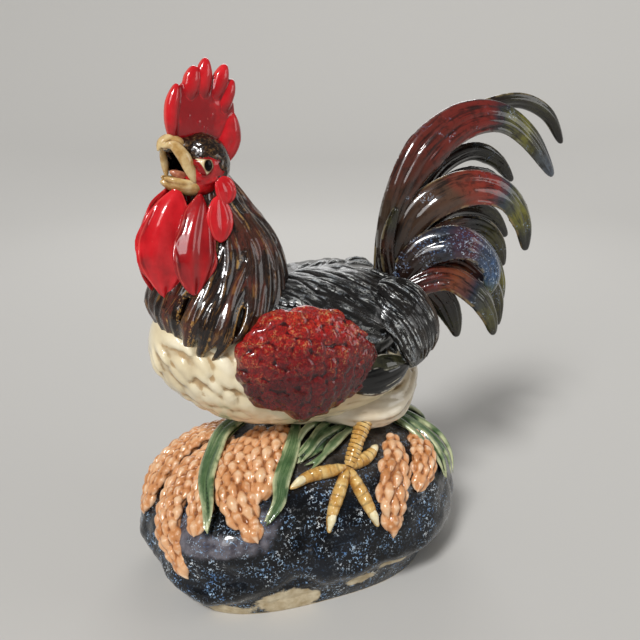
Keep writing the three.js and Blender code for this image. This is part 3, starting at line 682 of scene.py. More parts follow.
def grainFinish():
    r = Recipe("grainGlaze")
    dip, pick = r.mark("dip"), r.mark("pick")
    # lighter on raised grains: painted highlight
    r.body = r.graded(r.cloud(14, 3) * 0.55 + pick * 0.3 + dip * 0.16,
                      [(0.2, "b2723f"), (0.45, "cf9363"), (0.75, "e3b98f")])
    # pale tops: painted highlight
    r.over("efd3b2", dip.step(0.16, 0.42) * r.cloud(6, 2).step(0.4, 0.6) * 0.6)
    # darker in the creases: painted shade
    r.over("7a4420", (-dip).step(0.08, 0.45) * 0.8)
    return r.glazed(0.22 + r.cloud(5, 2) * 0.1, r.cloud(2.2, 3), 0.12)


def leafFinish():
    r = Recipe("leafGlaze")
    dip, across = r.mark("dip"), r.mark("across").size()
    streak = r.cloud(2.4, 3, r.combed(16, 8), 0.6)
    r.body = r.graded(streak * 0.5 + r.cloud(18, 3) * 0.5,
                      [(0.3, "26391f"), (0.5, "4a6540"), (0.72, "84946a")])
    pale = dip.step(0.05, 0.3) * (0.35 + across * 0.65) + r.mark("along").step(0.86, 1.0) * 0.6
    r.over("cdd0a4", pale * r.cloud(12, 2).step(0.34, 0.6) * 0.85)
    # near black in the grooves: painted shade
    r.over("0e170c", (-dip).step(0.06, 0.36) * 0.85)
    return r.glazed(0.2 + streak * 0.12, streak, 0.2)


def faceFinish():
    # zone 1 is the dark cap and zone 3 the inside of the mouth, painted black as shade
    r = Recipe("faceGlaze")
    dip, zone, streak = r.mark("dip"), r.mark("zone"), r.cloud(2.2, 4, rough=0.7)
    # lighter over swells and darker in wide hollows: painted light and shade
    r.body = r.graded(r.cloud(9, 3) + r.mark("swell") * 0.12,
                      [(0.3, "8a0d13"), (0.5, "b3151b"), (0.75, "cc2a2a")])
    # darker in the creases: painted shade
    r.over("4a0408", (-dip).step(0.03, 0.24) * 0.8)
    cap = r.graded(streak + dip * 0.5, [(0.35, "0b0705"), (0.55, "23150d"), (0.8, "7a5a34")])
    r.over(cap, zone.step(0.3, 0.7) * zone.step(2.0, 1.5))
    # the inside of the mouth black: painted shade
    r.over("030202", zone.step(2.2, 2.6))
    return r.glazed(0.2 + r.cloud(5, 2) * 0.12, streak, 0.2)


# balls: middle ahead and high, half sizes, and how far out they reach; sides of the almond: where a
# line's outward way points, ahead and high, and how far it lies from the almond's middle
eyeLook = {"balls": [((6.2, 2), (5.8, 6.2), 15, 20.9), ((9.8, 4.4), (4, 3.4), 11.5, 18.4)],
           "sides": [((-0.13, 0.99), 4.1), ((0.88, -0.47), 2.9), ((-0.71, -0.71), 5.2), ((-0.98, 0.2), 5.4)],
           "middle": (7, 3), "pupil": (2.9, 3.7), "pupilAt": (5.6, 2.9)}


def eyeFinish():
    r = Recipe("eyeGlaze")
    middle = (onHead(0, 0, 0) + frameShift) / 1000
    apart = r.node("ShaderNodeVectorMath", {"operation": "SUBTRACT"}, {0: r.place(), 1: tuple(middle)})
    ahead = r.node("ShaderNodeVectorMath", {"operation": "DOT_PRODUCT"},
                   {0: apart, 1: tuple(headAhead * 1000)}, 1)
    high = r.coordinate("Z") - float(middle[2]) * 1000

    def far(centre, half):
        return (((ahead - centre[0]) / half[0]) ** 2.0 + ((high - centre[1]) / half[1]) ** 2.0) ** 0.5

    pupil = far(eyeLook["pupilAt"], eyeLook["pupil"])
    edge = None
    for way, reach in eyeLook["sides"]:
        line = ((ahead - eyeLook["middle"][0]) * way[0] + (high - eyeLook["middle"][1]) * way[1]) / reach
        edge = edge.maths("MAXIMUM", edge, line) if edge else line
    r.body = r.clouded(6, 2, [(0.3, "dcc69a"), (0.7, "efe0bd")])
    r.over("7a5a34", pupil.step(1.35, 1.12) * 0.8)
    dark = pupil.step(1.1, 0.98)
    r.over("020202", dark)
    r.over("7c5238", edge.step(0.84, 0.93) * 0.8)
    r.over("8e1316", edge.step(0.98, 1.04))
    return r.glazed(0.14 + r.cloud(4, 2) * 0.05, r.cloud(3, 2), 0.02, 0.5 - dark * 0.44, 0.03)


def tongueFinish():
    r = Recipe("tongueGlaze")
    r.body = r.clouded(5, 3, [(0.3, "8f4a36"), (0.7, "cf8a68")])
    return r.glazed(0.26 + r.cloud(4, 2) * 0.1, r.cloud(2, 2), 0.1)


bright = [(0.28, "960b14"), (0.5, "bd121c"), (0.75, "d3222a")]
# the jowls' deeper reds and darker creases: painted shade
deep = [(0.28, "6e080e"), (0.5, "930e15"), (0.75, "b01a1e")]
finishes = {
    "rock": rockFinish(), "hackle": hackleFinish(), "wing": wingFinish(), "flight": flightFinish(),
    "saddle": saddleFinish(), "grain": grainFinish(), "leaf": leafFinish(), "face": faceFinish(),
    "eye": eyeFinish(), "tongue": tongueFinish(),
    "cream": creamFinish("creamGlaze", [(0.3, "cdbc9a"), (0.5, "e2d3b0"), (0.7, "f0e5c9")],
                         [(0.35, "7a5730"), (0.65, "b08f60")], "a9804c"),
    "fluff": creamFinish("fluffGlaze", [(0.3, "b9a890"), (0.5, "d3c4aa"), (0.7, "e6dcc6")],
                         [(0.35, "6e5334"), (0.65, "9a8058")], "9a7a50"),
    "red": redFinish("redGlaze", bright, "55050b", "e25a50"),
    "shadedRed": redFinish("shadedJowlGlaze", deep, "3c0307", "d2584c"),
    "ochre": ochreFinish("ochreGlaze", [(0.3, "95622a"), (0.5, "c2934c"), (0.75, "dcbc7c")],
                         [(0.3, "dccb98"), (0.7, "efe5c4")]),
    "beak": ochreFinish("beakGlaze", [(0.3, "8a6632"), (0.5, "b9935a"), (0.75, "dcc492")],
                        [(0.3, "dccb98"), (0.7, "efe5c4")]),
}
finishes.update({name + "Tail": tailFinish(name, *look) for name, look in tailGlazes.items()})
print("finishes mixed")


# Rock

def turnBetween(turn, at):
    return (np.asarray(turn, float) - at + 540) % 360 - 180


def blobs(places, turn, rise):
    # soft blobs on the rock, each with its turn, rise, reach round, reach up and height
    total = np.zeros(np.shape(turn + rise))
    for at, level, broad, tall, high in places:
        total = total + high * np.exp(-(turnBetween(turn, at) / broad) ** 2 - ((rise - level) / tall) ** 2)
    return total


def rockPoint(turn, rise, inset=0.0):
    turn, rise = np.asarray(turn, float), np.asarray(rise, float)
    a = np.radians(turn)
    lift = math.radians(rock["tuck"])
    e = rise * (math.pi / 2 + lift) - lift
    shoulder = 0.72 - 0.2 * np.cos(a)
    crown = rock["height"] - inset - rock["belt"]
    high, wide = np.maximum(np.sin(e), 0), np.maximum(np.cos(e), 0)
    reach = np.where(e < 0, wide, wide ** shoulder)
    z = np.where(e < 0, rock["belt"] * (1 + np.sin(e) / math.sin(lift)),
                 rock["belt"] + crown * high ** shoulder + rock["knoll"] * high ** 9)
    square = np.abs(np.cos(a)) ** rock["corner"] + np.abs(np.sin(a)) ** rock["corner"]
    lump = square ** (-1 / rock["corner"]) * (1 + 0.02 * np.sin(3 * a + 0.6) + 0.018 * np.sin(5 * a + 1.2))
    swell = blobs(rock["lumps"], turn, rise)
    return np.stack([rock["shift"] + ((rock["length"] / 2 - inset) * reach * lump + swell) * np.cos(a),
                     ((rock["width"] / 2 - inset) * reach * lump + swell) * np.sin(a), z], -1)


def rockOut(turn, rise):
    turn, rise = np.asarray(turn, float), np.asarray(rise, float)
    high, low = np.minimum(rise + 0.02, 0.97), np.minimum(rise, 0.95) - 0.02
    around = rockPoint(turn + 2, rise) - rockPoint(turn - 2, rise)
    return unit(np.cross(around, rockPoint(turn, high) - rockPoint(turn, low)))


def drape(route, wide, thick, lift=0.0, shift=0.0, blunt=2.2, steps=None):
    # a form that lies on the rock along a route of turn and rise, moved sideways by shift millimetres
    route = np.asarray(route, float)
    share = np.linspace(0, 1, steps or len(route))
    spine = Spine(rockPoint(route[:, 0], route[:, 1]))
    turn = np.interp(share, np.linspace(0, 1, len(route)), route[:, 0])
    rise = np.interp(share, np.linspace(0, 1, len(route)), route[:, 1])
    points, out = rockPoint(turn, rise), rockOut(turn, rise)
    sideways = unit(np.cross(out, spine.heading(share)))
    points = points + out * spread(lift, share)[:, None] + sideways * spread(shift, share)[:, None]
    return Form(points, wide, thick, out, blunt)


rockLook = {
    "fineness": (240, 210),
    # a lip of glaze winds round above the foot: turns, and how high it runs there
    "lipTurns": [0, 40, 80, 120, 160, 200, 222, 236, 246, 254, 262, 272, 284, 300, 318, 340, 360],
    "lipRises": [0.2, 0.14, 0.2, 0.13, 0.18, 0.12, 0.1, 0.17, 0.22,
                 0.27, 0.19, 0.16, 0.22, 0.2, 0.22, 0.24, 0.2],
    "lipBulge": 3.2, "lipHollow": 2.2,
    "foot": 0.36, "lip": 0.4,          # shares of the sphere where the inner wall and the rim end
    # bare clay shows in patches under the lip, and pale glaze on smooth ridges
    "bare": [(226, 0.03, 9, 0.06, 1.0), (246, 0.08, 8, 0.09, 1.1), (255, 0.06, 7, 0.07, 1.0),
             (276, 0.11, 7, 0.035, 1.0), (290, 0.16, 7, 0.03, 1.0), (322, 0.13, 12, 0.04, 0.9),
             (356, 0.1, 12, 0.05, 1.0), (30, 0.06, 10, 0.04, 1.0), (66, 0.1, 14, 0.05, 1.0),
             (104, 0.06, 12, 0.04, 1.0), (150, 0.1, 12, 0.05, 1.0), (186, 0.05, 10, 0.04, 1.0)],
    "veil": [(214, 0.4, 12, 0.06, 1.0), (228, 0.41, 9, 0.05, 1.0), (240, 0.5, 7, 0.12, 0.9),
             (206, 0.5, 10, 0.05, 0.7), (120, 0.45, 14, 0.07, 0.9), (62, 0.48, 12, 0.06, 0.9),
             (20, 0.56, 10, 0.06, 0.8), (340, 0.62, 8, 0.1, 0.8)],
    "crags": [(34, 2.2), (15, 1.3), (6.5, 0.6), (3, 0.35)],      # size and depth of the broken surface
    "crease": (24, 1.8),                                         # and of its sharp creases
}


def makeRock():
    bm = bmesh.new()
    around, rings = rockLook["fineness"]
    made = bmesh.ops.create_uvsphere(bm, u_segments=around, v_segments=rings, radius=1)["verts"]
    ball = np.array([v.co for v in made])
    share = np.arccos(np.clip(-ball[:, 2], -1, 1)) / math.pi
    turn = np.degrees(np.arctan2(ball[:, 1], ball[:, 0])) % 360
    foot, lip = rockLook["foot"], rockLook["lip"]
    rise = (share - lip) / (1 - lip)
    level = np.interp(turn, rockLook["lipTurns"], rockLook["lipRises"])
    above = rise - level
    outer = rockPoint(turn, rise)
    inner = rockPoint(turn, 1 - share / foot, rock["wall"])
    rim = ((share - foot) / (lip - foot))[:, None]
    edge = rockPoint(turn, 0.0) * rim + rockPoint(turn, 0.0, rock["wall"]) * (1 - rim)
    out = rockOut(turn, np.clip(rise, 0.02, 0.95))
    place = np.where((share > lip)[:, None], outer, np.where((share > foot)[:, None], edge, inner))
    carved = rockLook["lipBulge"] * np.exp(-((above - 0.045) / 0.05) ** 2)
    carved -= rockLook["lipHollow"] * (above < 0) * (1 - np.exp(-(above / 0.03) ** 2))
    smooth = np.clip(blobs(rockLook["veil"], turn, rise), 0, 1)
    for i, v in enumerate(made):
        where = Vector(place[i])
        if share[i] > lip:
            rough = sum(deep * noise.noise(where / size + Vector((size, 0, 0)))
                        for size, deep in rockLook["crags"])
            size, deep = rockLook["crease"]
            rough -= deep * abs(noise.noise(where / size + Vector((0, 9, 0))))
            fade = min(1.0, where.z / 12)
            where += Vector(out[i]) * (carved[i] + rough * (1 - 0.7 * smooth[i]) - 0.3) * fade
            where.z = max(where.z, 0)
        v.co = where
    mesh = bpy.data.meshes.new("rock")
    bm.to_mesh(mesh)
    mesh.transform(toFrame)
    bare = blobs(rockLook["bare"], turn, rise) * (share > lip) + (share <= lip)
    for name, values in (("bare", bare), ("veil", smooth)):
        writeMark(mesh, name, values)
    finished("rock", mesh, "rock", ["rock_base"])


# Torso: a smooth cream body with soft overlapping lobes over the breast

def jitter(size):
    return rand.uniform(-size, size)


def cosine(turn):
    return math.cos(math.radians(turn))


bodyLook = {"rows": 9, "first": 0.01, "pitch": 0.05, "arc": (165, 210), "lobe": 6.6, "relief": 3.0,
            "strokes": 60, "rear": 34}
torsoForm = Form(torsoRoute((-1, 0, 0.5), (-0.52, 0, 0.26), (0.03, 0, 0), (0.58, 0, -0.1), (1, 0, 0.02)),
                 np.array([0.8, 0.95, 1, 0.96, 0.78]) * torso["width"] / 2,
                 np.array([0.86, 0.99, 1, 0.96, 0.8]) * torso["height"] / 2, blunt=2.3, grow=-1.4)


def makeBody():
    clay = Clay()
    clay.press(torsoForm, 50, 70)
    for row in range(bodyLook["rows"]):
        t = bodyLook["first"] + bodyLook["pitch"] * row
        count = int(6 + 5.6 * math.sqrt(row))
        for i in range(count):
            turn = bodyLook["arc"][0] + bodyLook["arc"][1] * (i + 0.5 * (row % 2)) / count + jitter(6)
            size = (0.7 + 0.3 * min(1, row / 3)) * (1 + jitter(0.3))
            fade = 1 - 0.6 * max(0, row - 5) / 3
            ahead = 0.08 * size
            fall = -14 * cosine(turn) + jitter(6)
            route = [(t - 0.02, turn), (t + ahead * 0.5, turn + fall * 0.4), (t + ahead, turn + fall)]
            clay.strand(torsoForm, route, np.array([0.7, 1, 0.85]) * bodyLook["lobe"] * size,
                        np.array([0.6, 1, 0.9]) * bodyLook["relief"] * fade,
                        [-1.6, 0.5 * fade, 1.7 * fade], 12, 14, 2.4)
    for i in range(bodyLook["strokes"]):
        t, turn = rand.uniform(0.42, 0.78), 270 + jitter(90)
        bend = jitter(5)
        clay.strand(torsoForm, [(t, turn), (t + 0.1, turn + bend), (t + 0.2, turn + bend * 2.4)],
                    [2, 3.8, 2], [0.8, 1.6, 0.8], [-0.5, 0.4, 0.2], 14, 10, 2.0)
    for i in range(bodyLook["rear"]):
        turn, t = 150 + 240 * i / bodyLook["rear"] + jitter(4), rand.uniform(0.62, 0.74)
        bend = jitter(8)
        route = [(t, turn), (t + 0.1, turn + bend), (t + 0.19, turn + bend * 0.4), (0.985, turn - bend)]
        clay.strand(torsoForm, route, [2.4, 4.6, 4.2, 2.2], [1, 2.2, 2, 1], [-0.6, 0.5, 0.5, -0.3],
                    20, 10, 2.1)
    fire("body", clay, "body", ["body_shell"])


fluffLook = {"strands": 30, "half": 3.7, "relief": 3.0, "deep": 23}


def makeFluff():
    clay = Clay()
    form = Form(torsoRoute((-0.12, 0, -0.68), (0.3, 0, -0.76), (0.7, 0, -0.74), (1.05, 0, -0.46)),
                np.array([0.7, 0.84, 0.82, 0.56]) * torso["width"] / 2,
                np.array([0.5, 0.86, 1.04, 0.9]) * fluffLook["deep"], grow=-1.8)
    clay.press(form, 30, 40)
    for i in range(fluffLook["strands"]):
        turn = 360 * i / fluffLook["strands"] + jitter(3)
        t = rand.uniform(0.16, 0.34)
        wave = 8 + jitter(8)
        route = [(t, turn - wave), (t + 0.2, turn), (t + 0.42, turn + wave), (t + 0.62, turn + jitter(6))]
        clay.strand(form, route, np.array([0.5, 1, 1, 0.5]) * fluffLook["half"],
                    np.array([0.5, 1, 1.1, 0.6]) * fluffLook["relief"], [-1.2, 0.3, 0.9, 1.0], 20, 10, 2.1)
    fire("fluff", clay, "fluff", ["rear_fluff"])


# Neck cape: locks of long strands that sweep forward as they fall, the lower rows pressed first

nape = 34          # width of the neck under the head
capeTop, capeSeat = onHead(-4, 0, 0), onTorso(-0.52, 0, 0.72)
cape = Form([capeTop, capeTop + (capeSeat - capeTop) * 0.28 + [6, 0, 0],
             capeTop + (capeSeat - capeTop) * 0.62 + [11, 0, 0], capeSeat, onTorso(-0.66, 0, -0.02)],
            [nape / 2, nape * 0.62, torso["width"] * 0.3, torso["width"] * 0.47, torso["width"] * 0.49],
            [nape / 2, nape * 0.77, torso["length"] * 0.205, torso["length"] * 0.245, torso["length"] * 0.17],
            (1, 0, 0), 3, -3.6)
capeLook = {
    # locks in a row, where they start and end, and the half width of a strand
    "rows": [(24, 0.46, 0.955, 5.0), (22, 0.36, 0.9, 5.2), (19, 0.26, 0.82, 5.2), (17, 0.16, 0.7, 4.9),
             (14, 0.09, 0.55, 4.3), (12, 0.03, 0.4, 3.4), (10, 0.0, 0.25, 2.6)],
    "sweep": 54,          # degrees that a lock on the flank moves forward as it falls
    "wave": (6, 2),       # degrees that a lock waves, and how unevenly
    "thick": 0.72,        # thickness of a lock as a share of its width
    "uneven": {"turn": 4, "end": 0.03, "size": 0.16, "raised": 0.8},
    # hairs on a lock: where across it, half width as a share of the lock's, and zone (2 is gilt)
    "hairs": [(0.66, 0.24, 2), (-0.1, 0.55, 1), (-0.6, 0.34, 1)],
}


def grooved(deep, broad=0.4):
    # a groove down the middle of a strand
    def relief(t, across, top):
        return np.where(top > 0, -deep * np.exp(-(across / broad) ** 2) * np.sin(np.pi * np.clip(t, 0, 1)), 0)
    return relief


def makeCape():
    clay = Clay()
    upper = np.linspace(0, 0.88, 9)             # the core ends above the tips of the lowest locks
    core = Form(cape.spine.at(upper), spread(cape.wide, upper), spread(cape.thick, upper), cape.face, 3, -3.6)
    clay.press(core, 40, 50)
    share, uneven = np.linspace(0, 1, 9), capeLook["uneven"]
    for row, (count, start, end, half) in enumerate(capeLook["rows"]):
        for i in range(count):
            turn = 360 * (i + 0.5 * (row % 2)) / count + jitter(uneven["turn"])
            tip = end + jitter(uneven["end"])
            wave = capeLook["wave"][0] + jitter(capeLook["wave"][1])
            size = half * (1 + jitter(uneven["size"]))
            raised = jitter(uneven["raised"])
            begin = start + jitter(uneven["end"])
            t = begin + (tip - begin) * share
            fall = np.clip((t - 0.2) / 0.75, 0, 1)
            sweep = -capeLook["sweep"] * cosine(turn) * fall * fall * (3 - 2 * fall)
            turns = turn + sweep + wave * np.sin(6 * share)
            lift = np.array([-1.2, 0, 0.6, 1.0, 1.3, 1.4, 1.4, 1.2, 0.6]) + raised
            slim = np.array([0.4, 0.85, 1, 1, 1, 0.95, 0.8, 0.55, 0.22])
            pick = rand.random()
            clay.strand(cape, np.stack([t, turns], -1), slim * size, slim ** 0.7 * size * capeLook["thick"],
                        lift, 24, 14, 2.1, pick=pick)
            back = math.copysign(1, cosine(turn))     # the edge that looks back is gilt
            around = np.degrees(size / np.linalg.norm(cape.surface(t, turns) - cape.spine.at(t), axis=-1))
            for where, thin, zone in capeLook["hairs"]:
                hair = slim ** 0.5 * size * thin
                above = size * capeLook["thick"] * (0.98 - 0.55 * where ** 2) * slim ** 0.7
                clay.strand(cape, np.stack([t, turns + back * where * around * slim], -1), hair, hair * 0.8,
                            lift + above - size * thin * 0.45, 24, 8, 2.1, zone=zone, pick=pick)
    fire("cape", clay, "cape", ["neck_hackle"])


# Wings: rows of small rounded feathers, crinkled by hand, and dark flight feathers behind them

wingLook = {"columns": 11, "half": 6.2, "long": 17.0, "relief": 1.5, "dimple": 0.3, "deep": 13, "apart": 1.7,
            "crinkles": [(8, 0.9), (3.6, 0.38)]}       # size and depth of the uneven modelling


def dimpled(t, across, top):
    # each small feather sinks a little within its rim
    far = np.hypot((t - 0.62) * 2.4, across)
    rim, hollow = np.exp(-((far - 0.62) / 0.2) ** 2), np.exp(-(far / 0.4) ** 2)
    return np.where(top > 0, wingLook["dimple"] * (rim - 0.6 * hollow), 0)


def makeWing():
    clay = Clay()
    wing = Form(torsoRoute((-0.54, -0.86, -0.04), (-0.28, -1.03, 0.2), (0.08, -1.01, 0.18),
                           (0.43, -0.92, 0.02)),
                np.array([0.56, 0.73, 0.63, 0.42]) * torso["height"] / 2,
                np.array([0.8, 1, 1, 0.8]) * wingLook["deep"],
                (0, -1, 0.15), 2.7, -2.6)
    clay.press(wing, 30, 40)
    # from the rear forwards, so that each row covers the roots of the one behind
    for column in range(wingLook["columns"], -1, -1):
        t = 0.02 + 0.93 * column / wingLook["columns"]
        tall = float(spread(wing.wide, t)) * (1 - abs(1 - 2 * t) ** 2.4) ** (1 / 2.4)
        count = max(2, round(2 * tall * 1.3 / (wingLook["half"] * wingLook["apart"])))
        for i in range(count):
            across = (2 * (i + 0.5 * (column % 2) + 0.25) / count - 1) * 1.04
            turn = math.degrees(math.acos(min(max(across, -0.99), 0.99))) + jitter(3)
            size = (0.82 + 0.2 * min(1, tall / 30)) * (1 + jitter(0.15))
            fall = 5 + jitter(8)
            ahead = wingLook["long"] * size / wing.spine.length
            route = [(t - ahead * 0.4, turn - fall * 0.3), (t + ahead * 0.1, turn),
                     (t + ahead * 0.6, turn + fall)]
            clay.strand(wing, route, np.array([0.75, 1, 0.85]) * wingLook["half"] * size,
                        np.array([0.8, 1.1, 1.0]) * wingLook["relief"], [-1.0, 0.4, 1.3 + jitter(1.1)],
                        18, 20, 2.6, relief=dimpled)
    fire("wingLeft", clay, "wing", ["wing_left"], ("wingRight", ["wing_right"]),
         crinkles=wingLook["crinkles"])


flightLook = {"turns": [170, 146, 122, 98, 74], "half": 5.2, "relief": 2.3, "olive": [40, 24]}


def makeFlight():
    clay = Clay()
    form = Form(torsoRoute((0.14, -0.98, -0.14), (0.38, -0.99, -0.12), (0.58, -0.94, -0.08),
                           (0.74, -0.86, -0.02)), [15, 15, 12, 6], [8, 8, 7, 5], (0, -1, 0.15), 2, -1.4)
    clay.press(form, 20, 20)
    for i, turn in enumerate(flightLook["turns"]):
        route = [(0.1, turn + 6), (0.4, turn), (0.7, turn - 3), (0.97 - 0.03 * abs(2 - i), turn - 8)]
        clay.strand(form, route, np.array([0.6, 1, 1, 0.45]) * flightLook["half"],
                    np.array([0.7, 1, 1, 0.6]) * flightLook["relief"], [0, 0.6, 0.8, 0.6], 20, 14, 2.2,
                    relief=grooved(0.6, 0.2))
    for turn in flightLook["olive"]:
        clay.strand(form, [(0.2, turn + 4), (0.55, turn + 10), (0.86, turn + 20)], [3.5, 6, 4],
                    [1.6, 2.6, 1.6], [0.4, 1.0, 1.2], 14, 12, 2.4, zone=2)
    fire("flightLeft", clay, "flight", ["flight_feathers_left"],
         ("flightRight", ["flight_feathers_right"]))


# Saddle: short fine strokes behind the neck, then long strands combed back over the flanks

saddleLook = {
    "strokes": 560, "strokeHalf": (0.9, 1.7), "strokeLong": (0.1, 0.17), "strokeArea": ((0.1, 0.66), (0, 92)),
    "apron": 40, "apronHalf": (2.8, 3.8), "apronFall": 34,          # how many degrees the apron hangs down
    "locks": 96, "lockHalf": (2.0, 3.2), "lockLong": (0.24, 0.34),
}


def makeSaddle():
    clay = Clay()
    form = Form(torsoRoute((-0.56, 0, 0.52), (0, 0, 0.4), (0.46, 0, 0.4), (0.93, 0, 0.58)),
                np.array([0.9, 1.04, 1.03, 0.7]) * torso["width"] / 2,
                np.array([0.62, 0.73, 0.76, 0.62]) * torso["height"] / 2, blunt=2.7, grow=-2.2)
    clay.press(form, 50, 60)
    for i in range(saddleLook["strokes"]):
        t, side = rand.uniform(*saddleLook["strokeArea"][0]), rand.choice((-1, 1))
        turn, long = rand.uniform(*saddleLook["strokeArea"][1]), rand.uniform(*saddleLook["strokeLong"])
        sweep = (8 + 24 * cosine(turn)) * long / 0.2
        wide = rand.uniform(*saddleLook["strokeHalf"])
        route = overRidge(side, (t, turn), (t + long / 2, turn + sweep * 0.5), (t + long, turn + sweep * 1.2))
        clay.strand(form, route, np.array([0.6, 1, 0.5]) * wide, [0.9, 1.4, 0.8], [0, 0.9, 1.2], 8, 6, 2.0)
    for i in range(saddleLook["apron"]):           # locks that hang from the saddle over the flank
        side, place = (-1) ** i, (i // 2) / (saddleLook["apron"] // 2)
        t, turn = 0.54 + 0.3 * place + jitter(0.01), 44 + jitter(5)
        end = turn + saddleLook["apronFall"] + 8 * place + jitter(6)
        route = overRidge(side, (t, turn), (t + 0.03, turn * 0.6 + end * 0.4),
                          (t + 0.08, turn * 0.2 + end * 0.8), (t + 0.12, end))
        wide = rand.uniform(*saddleLook["apronHalf"])
        clay.strand(torsoForm, route, np.array([0.7, 1, 1, 0.4]) * wide,
                    np.array([0.8, 1, 1, 0.5]) * wide * 0.7, [0.6, 1.6, 1.6, 0.8], 16, 10, 2.2,
                    relief=grooved(0.7, 0.3))
    for i in range(saddleLook["locks"]):
        side, place = (-1) ** i, (i // 2) / (saddleLook["locks"] // 2)
        t, turn = 0.34 + 0.4 * place + jitter(0.05), 2 + 54 * ((i // 2 * 0.618) % 1) + jitter(3)
        long = rand.uniform(*saddleLook["lockLong"])
        share = np.linspace(0, 1, 6)
        turns = turn + (22 + 26 * cosine(turn)) * share ** 1.5
        wide = rand.uniform(*saddleLook["lockHalf"])
        clay.strand(form, np.stack([np.minimum(t + long * share, 0.975), 90 + side * turns], -1),
                    np.array([0.5, 0.95, 1, 1, 0.85, 0.4]) * wide,
                    np.array([0.6, 1, 1, 1, 0.9, 0.5]) * wide * 0.8,
                    [-0.2, 0.8, 1.2, 1.4, 1.5, 1.2], 16, 10, 2.2, relief=grooved(0.7, 0.3))
    fire("back", clay, "back", ["saddle"])


saddleHackleLook = {"layers": [(9, 0.93), (8, 0.8), (7, 0.62), (6, 0.42)], "half": 3.3}


def makeSaddleHackle():
    clay = Clay()
    form = Form(torsoRoute((0.5, -0.5, 0.92), (0.68, -0.8, 0.62), (0.78, -0.86, 0.24), (0.83, -0.76, -0.17)),
                [21, 27, 26, 22], [8, 9.5, 9.5, 6.5], (0.35, -1, 0.25), 3.4, -2.2)
    clay.press(form, 24, 28)
    share = np.linspace(0, 1, 7)
    for layer, (count, end) in enumerate(saddleHackleLook["layers"]):
        for i in range(count):
            across = 0.94 * (2 * (i + 0.5) / count - 1)
            turn = math.degrees(math.acos(across)) + jitter(3)
            tip = end + jitter(0.04)
            wide = saddleHackleLook["half"] * (1 + jitter(0.2))
            turns = turn + 9 * np.sin(3.4 * share - 0.4) + jitter(5) * share
            raised = jitter(1.1)
            clay.strand(form, np.stack([0.02 + (tip - 0.02) * share, turns], -1),
                        np.array([0.5, 0.9, 1, 1, 0.95, 0.7, 0.3]) * wide,
                        np.array([0.5, 0.8, 1, 1, 1, 0.8, 0.5]) * wide * 0.75,
                        np.array([-0.2, 0.6, 1.0, 1.2, 1.3, 1.2, 0.9]) + 0.3 * layer + raised, 20, 12, 2.2,
                        relief=grooved(1.1, 0.35))
    fire("saddleHackleLeft", clay, "saddleHackle", ["saddle_hackle_left"],
         ("saddleHackleRight", ["saddle_hackle_right"]))


# Tail: each feather is a thick domed blade with rounded ridges side by side

tailRoot = onTorso(0.74, 0, 0.86)
# node, width, side, glaze, ridges, route back and up from the root, shares of the width along it
tailFeathers = {
    "sickleLeft": ("sickle_left", 33, -7, "sickle", 3,
                   [[2, -8], [-1, 36], [10, 74], [33, 103], [64, 121], [96, 122], [124, 106], [153, 72]],
                   [0.6, 0.62, 0.74, 1, 0.92, 0.82, 0.78, 0.6]),
    "sickleRight": ("sickle_right", 26.4, 8, "brown", 2,
                    [[-2, -8], [10, 50], [34, 90], [74, 120], [106, 131], [134, 132], [160, 120], [178, 95]],
                    [0.8, 0.8, 0.8, 0.7, 0.58, 0.56, 0.58, 0.55]),
    "spike": ("tail_spike", 13.2, -16, "brown", 2, [[3, -6], [-5, 34], [-3, 61]], [1, 1, 0.7]),
    "feather1": ("tail_feather_1", 24, 15, "brown", 3,
                 [[4, 0], [38, 54], [66, 82], [94, 92], [118, 83], [137, 64]],
                 [0.8, 1, 0.95, 0.85, 0.75, 0.55]),
    "feather2": ("tail_feather_2", 30.36, -13, "red", 2,
                 [[2, -2], [20, 48], [48, 67], [78, 69], [102, 59], [119, 36], [124, 13]],
                 [0.7, 0.85, 0.95, 1, 0.95, 0.85, 0.6]),
    "feather3": ("tail_feather_3", 24, 16, "brown", 3,
                 [[4, -2], [50, 34], [83, 43], [115, 35], [136, 15]], [0.8, 1, 1.1, 1, 0.6]),
    "feather4": ("tail_feather_4", 24, 4, "gold", 3,
                 [[4, -4], [56, 30], [90, 31], [112, 15], [121, -6]], [0.8, 1, 1, 0.9, 0.6]),
    "feather5": ("tail_feather_5", 26.4, -22, "blue", 2,
                 [[0, -8], [26, 24], [51, 30], [73, 18], [82, 1], [78, -17]], [0.8, 1, 1.1, 1, 0.85, 0.6]),
    "feather6": ("tail_feather_6", 26.4, 24, "blue", 3,
                 [[0, -8], [34, 26], [62, 30], [84, 12], [91, -14]], [0.8, 1, 1.1, 0.95, 0.6]),
    "feather7": ("tail_feather_7", 20.4, -2, "red", 3,
                 [[6, -8], [62, 22], [94, 10], [110, -15], [113, -42]], [0.8, 1, 1, 0.95, 0.6]),
    "feather8": ("tail_feather_8", 20.4, -12, "gold", 3,
                 [[6, -12], [56, 10], [82, -4], [98, -24], [102, -50]], [0.8, 1, 1, 0.95, 0.6]),
    "feather9": ("tail_feather_9", 22.8, -28, "gold", 3,
                 [[0, -14], [40, 2], [62, -12], [75, -30], [81, -48]], [0.8, 1, 1, 0.95, 0.6]),
    "feather10": ("tail_feather_10", 22.8, 28, "red", 3,
                  [[0, -16], [40, -3], [64, -18], [77, -36], [82, -54]], [0.8, 1, 1, 0.95, 0.6]),
    "feather11": ("tail_feather_11", 24, 6, "brown", 4,
                  [[4, -20], [40, -12], [63, -30], [75, -50], [80, -66]], [0.8, 1, 1, 0.95, 0.6]),
}
# clay that closes the hollow under a feather, glazed near black as painted shade: side, half width, route back
# and up from the root
tailWebs = {
    "feather1": (5, 10, [[14, 24], [42, 58], [72, 74], [100, 70], [121, 48]]),
    "feather3": (6, 10, [[14, 6], [46, 22], [76, 32], [104, 24], [120, 2]]),
    "feather6": (6, 10, [[10, -12], [40, 8], [66, 8], [84, -12], [90, -34]]),
}
tailLook = {"half": 5.5, "ridge": 2.5, "wander": 0.26, "fineness": (80, 56)}


